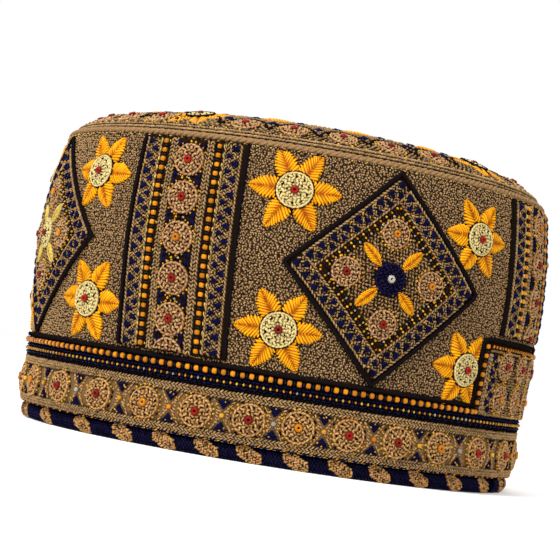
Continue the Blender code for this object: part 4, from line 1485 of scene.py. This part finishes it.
def dress_flowers():
    """The wall's flowers; the front panel's cord and the piping hold some petals back."""
    reach = wall_radius(45.0)
    for number, (azimuth, height, size) in enumerate(FLOWERS, 1):
        name = "flower_%02d" % number
        work = Work(name + "_stitches", 50 + number)
        across = np.radians(azimuth) * reach

        def keep(x, y):
            """Stay under the piping, and outside the front panel's cord."""
            y = np.minimum(y, 103.9 - height)
            if abs(azimuth) < 24.0 and height < 60.0:
                side = np.sign(azimuth)
                x = side * np.maximum(side * (across + x), 33.0) - across
            return x, y

        bloom(work, kept(on_wall(azimuth, height), keep), size, 0.35)
        work.piece("petal_thread", [name])


def middle_place(x, y, lift):
    """Flat coordinates over the crown's middle round."""
    return np.stack(np.broadcast_arrays(x, y, MEDALLION_LEVEL + lift), axis=-1)


def dress_crown():
    """The crown's ring of rosettes, scalloped cords and flowers, and the round in its middle."""
    dress_crown_ring()
    for number, azimuth in enumerate(CROWN_FLOWERS, 1):
        work = Work("crown_flower_%d_stitches" % number, 84 + number)
        bloom(work, on_crown(azimuth, CROWN_FLOWER_RADIUS), 0.76, 1.4, disc_lift=0.2, rise=0.7)
        work.piece("petal_thread", ["crown_flower_%d" % number])
    dress_medallion()


def dress_crown_ring():
    """The crown's ring: brown cloth along the crown, edged with stitches and small beads."""
    work = Work("crown_ring_stitches", 80)
    radii = np.linspace(*CROWN_RING, 14)
    under, top = (polar_place(0.0, -radii, lift) for lift in (0.3, 1.6))
    rows = np.concatenate([under, top[::-1]])
    work.turn(section_rows(-rows[:, 1], rows[:, 2]), 240, "ground")
    for radius, lean, lift in (
        (87.9, 30.0, 0.6),
        (87.1, -32.0, 1.3),
        (60.2, 32.0, 1.5),
        (59.3, -32.0, 1.0),
    ):
        along = circle_turn(radius, 1.3 * RING_RADIUS / radius)
        chain(work, polar_place, along, -radius, lean, "tan", size=(2.0, 1.1, 0.75), lift=lift)
    for radius in (86.4, 61.5):
        along = circle_turn(radius, 2.4)
        pairs = len(along) // 2 * 2
        for k, kind in enumerate(("gold_bead", "navy_bead")):
            beads_on(work, polar_place, along[k:pairs:2], -radius, kind, (1.1, 1.0, 0.9), 1.4)
    fill_crown(work)
    work.piece("crown_embroidery", ["crown_ring"])


def dress_medallion():
    """The round in the crown's middle: rows of stitches and beads, six rosettes and a flower."""
    work = Work("crown_medallion_stitches", 89)
    wide = MEDALLION_RADIUS
    section = [(0.0, 117.9), (wide, 117.9), (wide, 118.5), (20.0, 118.8), (8.0, 119.1), (0.0, 119.2)]
    work.turn(section, 96, "ground")
    for radius, lean, finish in (
        (23.3, 30.0, "tan"),
        (22.3, -30.0, "tan"),
        (20.2, 0.0, "black"),
        (13.9, 0.0, "black"),
    ):
        x, y, run = ring(int(2.0 * np.pi * radius / 1.35), radius)
        work.sew(middle_place, STITCH, finish, x, y, run + lean, (1.9, 0.9, 0.6), 1.1, 0.3)
    x, y, run = ring(68, 21.3)
    work.sew(middle_place, BEAD, "orange_bead", x, y, run, (1.3, 1.5, 1.3), 1.1)
    x, y = np.meshgrid(np.arange(-19.5, 19.6, 1.5), np.arange(-19.5, 19.6, 1.0))
    x = x + 0.75 * (np.round(y) % 2)
    some = np.hypot(x, y) < 19.4
    fill(work, middle_place, x[some], y[some], work.rng.choice(FILL_TURNS, some.sum()), 1.3)
    for angle in np.radians(60.0 * np.arange(6) + 30.0):
        x, y = 17.0 * np.cos(angle), 17.0 * np.sin(angle)
        rosette(work, middle_place, x, y, 2.8, "rose", "red_bead", 1.5, seeds=0)
    bloom(work, middle_place, 0.85, 1.3, disc_lift=0.3, rise=0.8)
    work.piece("crown_embroidery", ["crown_medallion"])


def circle_turn(radius, pitch):
    """Evenly spaced x round the crown at a radius, for polar_place."""
    count = int(round(2.0 * np.pi * radius / pitch))
    return 2.0 * np.pi * RING_RADIUS * np.arange(count) / count


def polar_place(x, y, lift):
    """Cloth coordinates round the crown: x runs round it, true at the ring's middle radius, y is
    the radius with its sign turned, so it grows inwards, and lift is along the crown's normal."""
    radius = -np.asarray(y, dtype=float)
    slope = crown_slope(radius)
    tip = np.sqrt(1.0 + slope**2)
    turn = np.asarray(x, dtype=float) / RING_RADIUS
    return around(turn, radius + lift * slope / tip, crown_height(radius) + lift / tip)


def fill_crown(work):
    """Rosettes round the ring, a black scalloped cord, navy patches and a fill of tan stitches."""
    every = np.arange(-83.0, 277.0, 12.0)

    def clear_of_flowers(azimuth):
        """True for an azimuth at least nine degrees from every flower of the crown."""
        return np.abs(turn_between(np.array(CROWN_FLOWERS), azimuth)).min() >= 9.0

    azimuths = [azimuth for azimuth in every if clear_of_flowers(azimuth)]
    turn = np.linspace(0.0, 2.0 * np.pi, 601)[:-1]
    arch = 85.6 - 12.2 * np.abs(np.cos(15.0 * (turn - np.radians(every[0])))) ** 0.55
    path = np.stack([turn * RING_RADIUS, -arch], axis=1)
    work.line(polar_place, path, (1.3, 1.0), "black", 1.3, closed=True, sides=5)
    gx, gy = np.meshgrid(np.arange(270) / 270.0 * 2.0 * np.pi * RING_RADIUS, -np.arange(63.2, 86.2, 1.12))
    gx = gx + 0.8 * (np.round(gy / 1.12) % 2)
    free = np.ones(gx.shape, dtype=bool)
    for azimuth in azimuths:
        near = turn_between(np.degrees(gx / RING_RADIUS), azimuth) * np.radians(RING_RADIUS)
        free &= np.hypot(near, gy + RING_BUTTON_RADIUS) > 5.2
    fill(work, polar_place, gx[free], gy[free], 30.0, 1.5, (2.0, 1.15, 0.6))
    for azimuth in azimuths:
        here = on_crown(azimuth, RING_BUTTON_RADIUS)
        rosette(work, here, 0.0, 0.0, size_of("crown_button"), "rose", "red_bead", 1.2, seeds=18)
    for azimuth in every + 6.0:
        if clear_of_flowers(azimuth):
            triangles(work, on_crown(azimuth, 75.4), 0.0, 0.0, 0.0, 4.4, 3.4, 1.6)
    for azimuth in np.arange(-77.0, 283.0, 24.0):
        here = on_crown(azimuth, 66.5)
        petal(work, here, -4.3, 8.6, LEAF_WIDTHS, "satin", 1.6, 0.8)
        triangles(work, here, np.array([-8.0, 8.0]), 0.0, 0.0, 3.4, 3.2, 1.6)


# Stage


def dress_stage():
    """A pale floor, soft lamps, a white sky and the camera at the photo's place."""
    scene = bpy.context.scene
    floor = bpy.data.meshes.new("pale_floor")
    x, y = np.meshgrid((-FLOOR_HALF, FLOOR_HALF), (-FLOOR_HALF, FLOOR_HALF))
    points = np.stack([x.ravel(), y.ravel(), np.zeros(4)], axis=1)
    floor.from_pydata(points.tolist(), [], [(0, 1, 3, 2)])
    floor.materials.append(stage_finish())
    sheet = bpy.data.objects.new("pale_floor", floor)
    scene.collection.objects.link(sheet)
    sheet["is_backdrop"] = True

    for name, spot, energy, size in LAMPS:
        lamp = bpy.data.lights.new(name, "AREA")
        lamp.energy = energy
        lamp.size = size
        made = bpy.data.objects.new(name, lamp)
        made.location = spot
        made.rotation_mode = "QUATERNION"
        aim = Vector((0.0, 0.0, 0.06)) - Vector(spot)
        made.rotation_quaternion = aim.to_track_quat("-Z", "Y")
        scene.collection.objects.link(made)

    world = bpy.data.worlds.new("studio")
    world.use_nodes = True
    tree = world.node_tree
    tree.nodes["Background"].inputs[0].default_value = (1.0, 1.0, 1.0, 1.0)
    seen = node(tree, "ShaderNodeLightPath").outputs["Is Camera Ray"]
    strength = maths(tree, "MULTIPLY_ADD", seen, 1.0 - SKY_LIGHT, SKY_LIGHT)
    tree.links.new(strength, tree.nodes["Background"].inputs[1])
    scene.world = world
    scene.view_settings.view_transform = "Standard"

    lens = bpy.data.cameras.new("photo_camera")
    lens.lens = CAMERA_LENS
    lens.sensor_width = 36.0
    lens.clip_start = 0.01
    camera = bpy.data.objects.new("photo_camera", lens)
    camera.matrix_world = camera_matrix()
    scene.collection.objects.link(camera)
    scene.camera = camera


def camera_matrix():
    """The camera's place and axes: pitched, rolled about its view, then turned about +Z."""
    pitch, roll, turn = CAMERA_PITCH, CAMERA_ROLL, np.radians(CAMERA_AZIMUTH)
    ahead = np.array([0.0, np.cos(pitch), -np.sin(pitch)])
    level = np.array([1.0, 0.0, 0.0])
    above = np.array([0.0, np.sin(pitch), np.cos(pitch)])
    right = np.cos(roll) * level + np.sin(roll) * above
    up = -np.sin(roll) * level + np.cos(roll) * above
    c, s = np.cos(turn), np.sin(turn)
    spin = np.array([[c, -s, 0.0], [s, c, 0.0], [0.0, 0.0, 1.0]])
    matrix = np.eye(4)
    matrix[:3, :3] = spin @ np.stack([right, up, -ahead], axis=1)
    matrix[:3, 3] = CAMERA_PLACE
    return Matrix(matrix.tolist())


def stage_finish():
    """A matt pale floor that glows a little."""
    made = bpy.data.materials.new("pale_floor")
    made.use_nodes = True
    shader = made.node_tree.nodes["Principled BSDF"]
    shader.inputs["Base Color"].default_value = (0.86, 0.86, 0.85, 1.0)
    shader.inputs["Roughness"].default_value = 0.9
    shader.inputs["Emission Color"].default_value = (1.0, 1.0, 1.0, 1.0)
    shader.inputs["Emission Strength"].default_value = 0.3
    return made


# Operators and panel


class CAP_OT_sew_shell(bpy.types.Operator):
    """Turn the wall and the crown of cloth with a cotton lining"""

    bl_idname = "cap.sew_shell"
    bl_label = "Cloth shell"
    bl_options = {"REGISTER", "UNDO"}

    def execute(self, context):
        dress_shell()
        return {"FINISHED"}


class CAP_OT_sew_pile(bpy.types.Operator):
    """Sew the field's curled pile wherever no patch lies on it"""

    bl_idname = "cap.sew_pile"
    bl_label = "Curled pile"
    bl_options = {"REGISTER", "UNDO"}

    def execute(self, context):
        dress_pile()
        return {"FINISHED"}


class CAP_OT_sew_piping(bpy.types.Operator):
    """Lay the three-strand rope over the seam of wall and crown"""

    bl_idname = "cap.sew_piping"
    bl_label = "Seam piping"
    bl_options = {"REGISTER", "UNDO"}

    def execute(self, context):
        dress_piping()
        return {"FINISHED"}


class CAP_OT_sew_hem(bpy.types.Operator):
    """Make the padded hem roll with its slanted leaves"""

    bl_idname = "cap.sew_hem"
    bl_label = "Hem roll"
    bl_options = {"REGISTER", "UNDO"}

    def execute(self, context):
        dress_hem()
        return {"FINISHED"}


class CAP_OT_sew_braids(bpy.types.Operator):
    """Sew the two flat braids above the hem"""

    bl_idname = "cap.sew_braids"
    bl_label = "Braids"
    bl_options = {"REGISTER", "UNDO"}

    def execute(self, context):
        dress_braids()
        return {"FINISHED"}


class CAP_OT_sew_band(bpy.types.Operator):
    """Sew the low band of crocheted buttons"""

    bl_idname = "cap.sew_band"
    bl_label = "Button band"
    bl_options = {"REGISTER", "UNDO"}

    def execute(self, context):
        dress_rosette_band()
        return {"FINISHED"}


class CAP_OT_sew_tape(bpy.types.Operator):
    """Sew the navy tape with its two rows of beads"""

    bl_idname = "cap.sew_tape"
    bl_label = "Bead tape"
    bl_options = {"REGISTER", "UNDO"}

    def execute(self, context):
        dress_tape()
        return {"FINISHED"}


class CAP_OT_sew_rail(bpy.types.Operator):
    """Couch the black cord over the tape and round the front panel"""

    bl_idname = "cap.sew_rail"
    bl_label = "Black cord"
    bl_options = {"REGISTER", "UNDO"}

    def execute(self, context):
        dress_rail()
        return {"FINISHED"}


class CAP_OT_sew_front_panel(bpy.types.Operator):
    """Sew the small panel over the forehead"""

    bl_idname = "cap.sew_front_panel"
    bl_label = "Front panel"
    bl_options = {"REGISTER", "UNDO"}

    def execute(self, context):
        dress_panel()
        return {"FINISHED"}


class CAP_OT_sew_strips(bpy.types.Operator):
    """Sew the four upright strips of buttons, beads and triangles"""

    bl_idname = "cap.sew_strips"
    bl_label = "Upright strips"
    bl_options = {"REGISTER", "UNDO"}

    def execute(self, context):
        dress_columns()
        return {"FINISHED"}


class CAP_OT_sew_square_panels(bpy.types.Operator):
    """Sew the four square panels that stand on a corner"""

    bl_idname = "cap.sew_square_panels"
    bl_label = "Square panels"
    bl_options = {"REGISTER", "UNDO"}

    def execute(self, context):
        dress_diamonds()
        return {"FINISHED"}


class CAP_OT_sew_flowers(bpy.types.Operator):
    """Sew the sixteen flowers on the wall"""

    bl_idname = "cap.sew_flowers"
    bl_label = "Wall flowers"
    bl_options = {"REGISTER", "UNDO"}

    def execute(self, context):
        dress_flowers()
        return {"FINISHED"}


class CAP_OT_sew_crown(bpy.types.Operator):
    """Sew the crown's ring, its four flowers and the round in its middle"""

    bl_idname = "cap.sew_crown"
    bl_label = "Crown embroidery"
    bl_options = {"REGISTER", "UNDO"}

    def execute(self, context):
        dress_crown()
        return {"FINISHED"}


class CAP_OT_set_stage(bpy.types.Operator):
    """Set up the pale floor, the soft lamps and the camera"""

    bl_idname = "cap.set_stage"
    bl_label = "Stage"
    bl_options = {"REGISTER", "UNDO"}

    def execute(self, context):
        dress_stage()
        return {"FINISHED"}


OPERATORS = (
    CAP_OT_sew_shell,
    CAP_OT_sew_pile,
    CAP_OT_sew_piping,
    CAP_OT_sew_hem,
    CAP_OT_sew_braids,
    CAP_OT_sew_band,
    CAP_OT_sew_tape,
    CAP_OT_sew_rail,
    CAP_OT_sew_front_panel,
    CAP_OT_sew_strips,
    CAP_OT_sew_square_panels,
    CAP_OT_sew_flowers,
    CAP_OT_sew_crown,
    CAP_OT_set_stage,
)


class CAP_PT_stitchwork(bpy.types.Panel):
    """The cap's pieces, sizes and colours"""

    bl_label = "Cap stitchwork"
    bl_space_type = "VIEW_3D"
    bl_region_type = "UI"
    bl_category = "Cap"

    def draw(self, context):
        """A button for each operator, then the sizes and the colours."""
        for operator in OPERATORS:
            self.layout.operator(operator.bl_idname)
        for group in (context.scene.cap_sizes, context.scene.cap_colours):
            column = self.layout.column(align=True)
            for name in type(group).__annotations__:
                column.prop(group, name)


CLASSES = (CapColours, CapSizes, *OPERATORS, CAP_PT_stitchwork)


def register():
    """Makes the classes known to Blender, and hangs the colours and sizes on the scene."""
    for kind in CLASSES:
        bpy.utils.register_class(kind)
    bpy.types.Scene.cap_colours = PointerProperty(type=CapColours)
    bpy.types.Scene.cap_sizes = PointerProperty(type=CapSizes)


def unregister():
    """Takes everything back that register has made."""
    del bpy.types.Scene.cap_sizes
    del bpy.types.Scene.cap_colours
    for kind in reversed(CLASSES):
        bpy.utils.unregister_class(kind)


def main():
    """Sews every piece in order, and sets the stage."""
    register()
    bpy.ops.cap.sew_shell()
    bpy.ops.cap.sew_pile()
    bpy.ops.cap.sew_piping()
    bpy.ops.cap.sew_hem()
    bpy.ops.cap.sew_braids()
    bpy.ops.cap.sew_band()
    bpy.ops.cap.sew_tape()
    bpy.ops.cap.sew_rail()
    bpy.ops.cap.sew_front_panel()
    bpy.ops.cap.sew_strips()
    bpy.ops.cap.sew_square_panels()
    bpy.ops.cap.sew_flowers()
    bpy.ops.cap.sew_crown()
    bpy.ops.cap.set_stage()
    bounds = {"cad": CAD_BOUNDS, "visual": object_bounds()}
    sizes = {name: [list(corner) for corner in box] for name, box in bounds.items()}


if __name__ == "__main__":
    main()
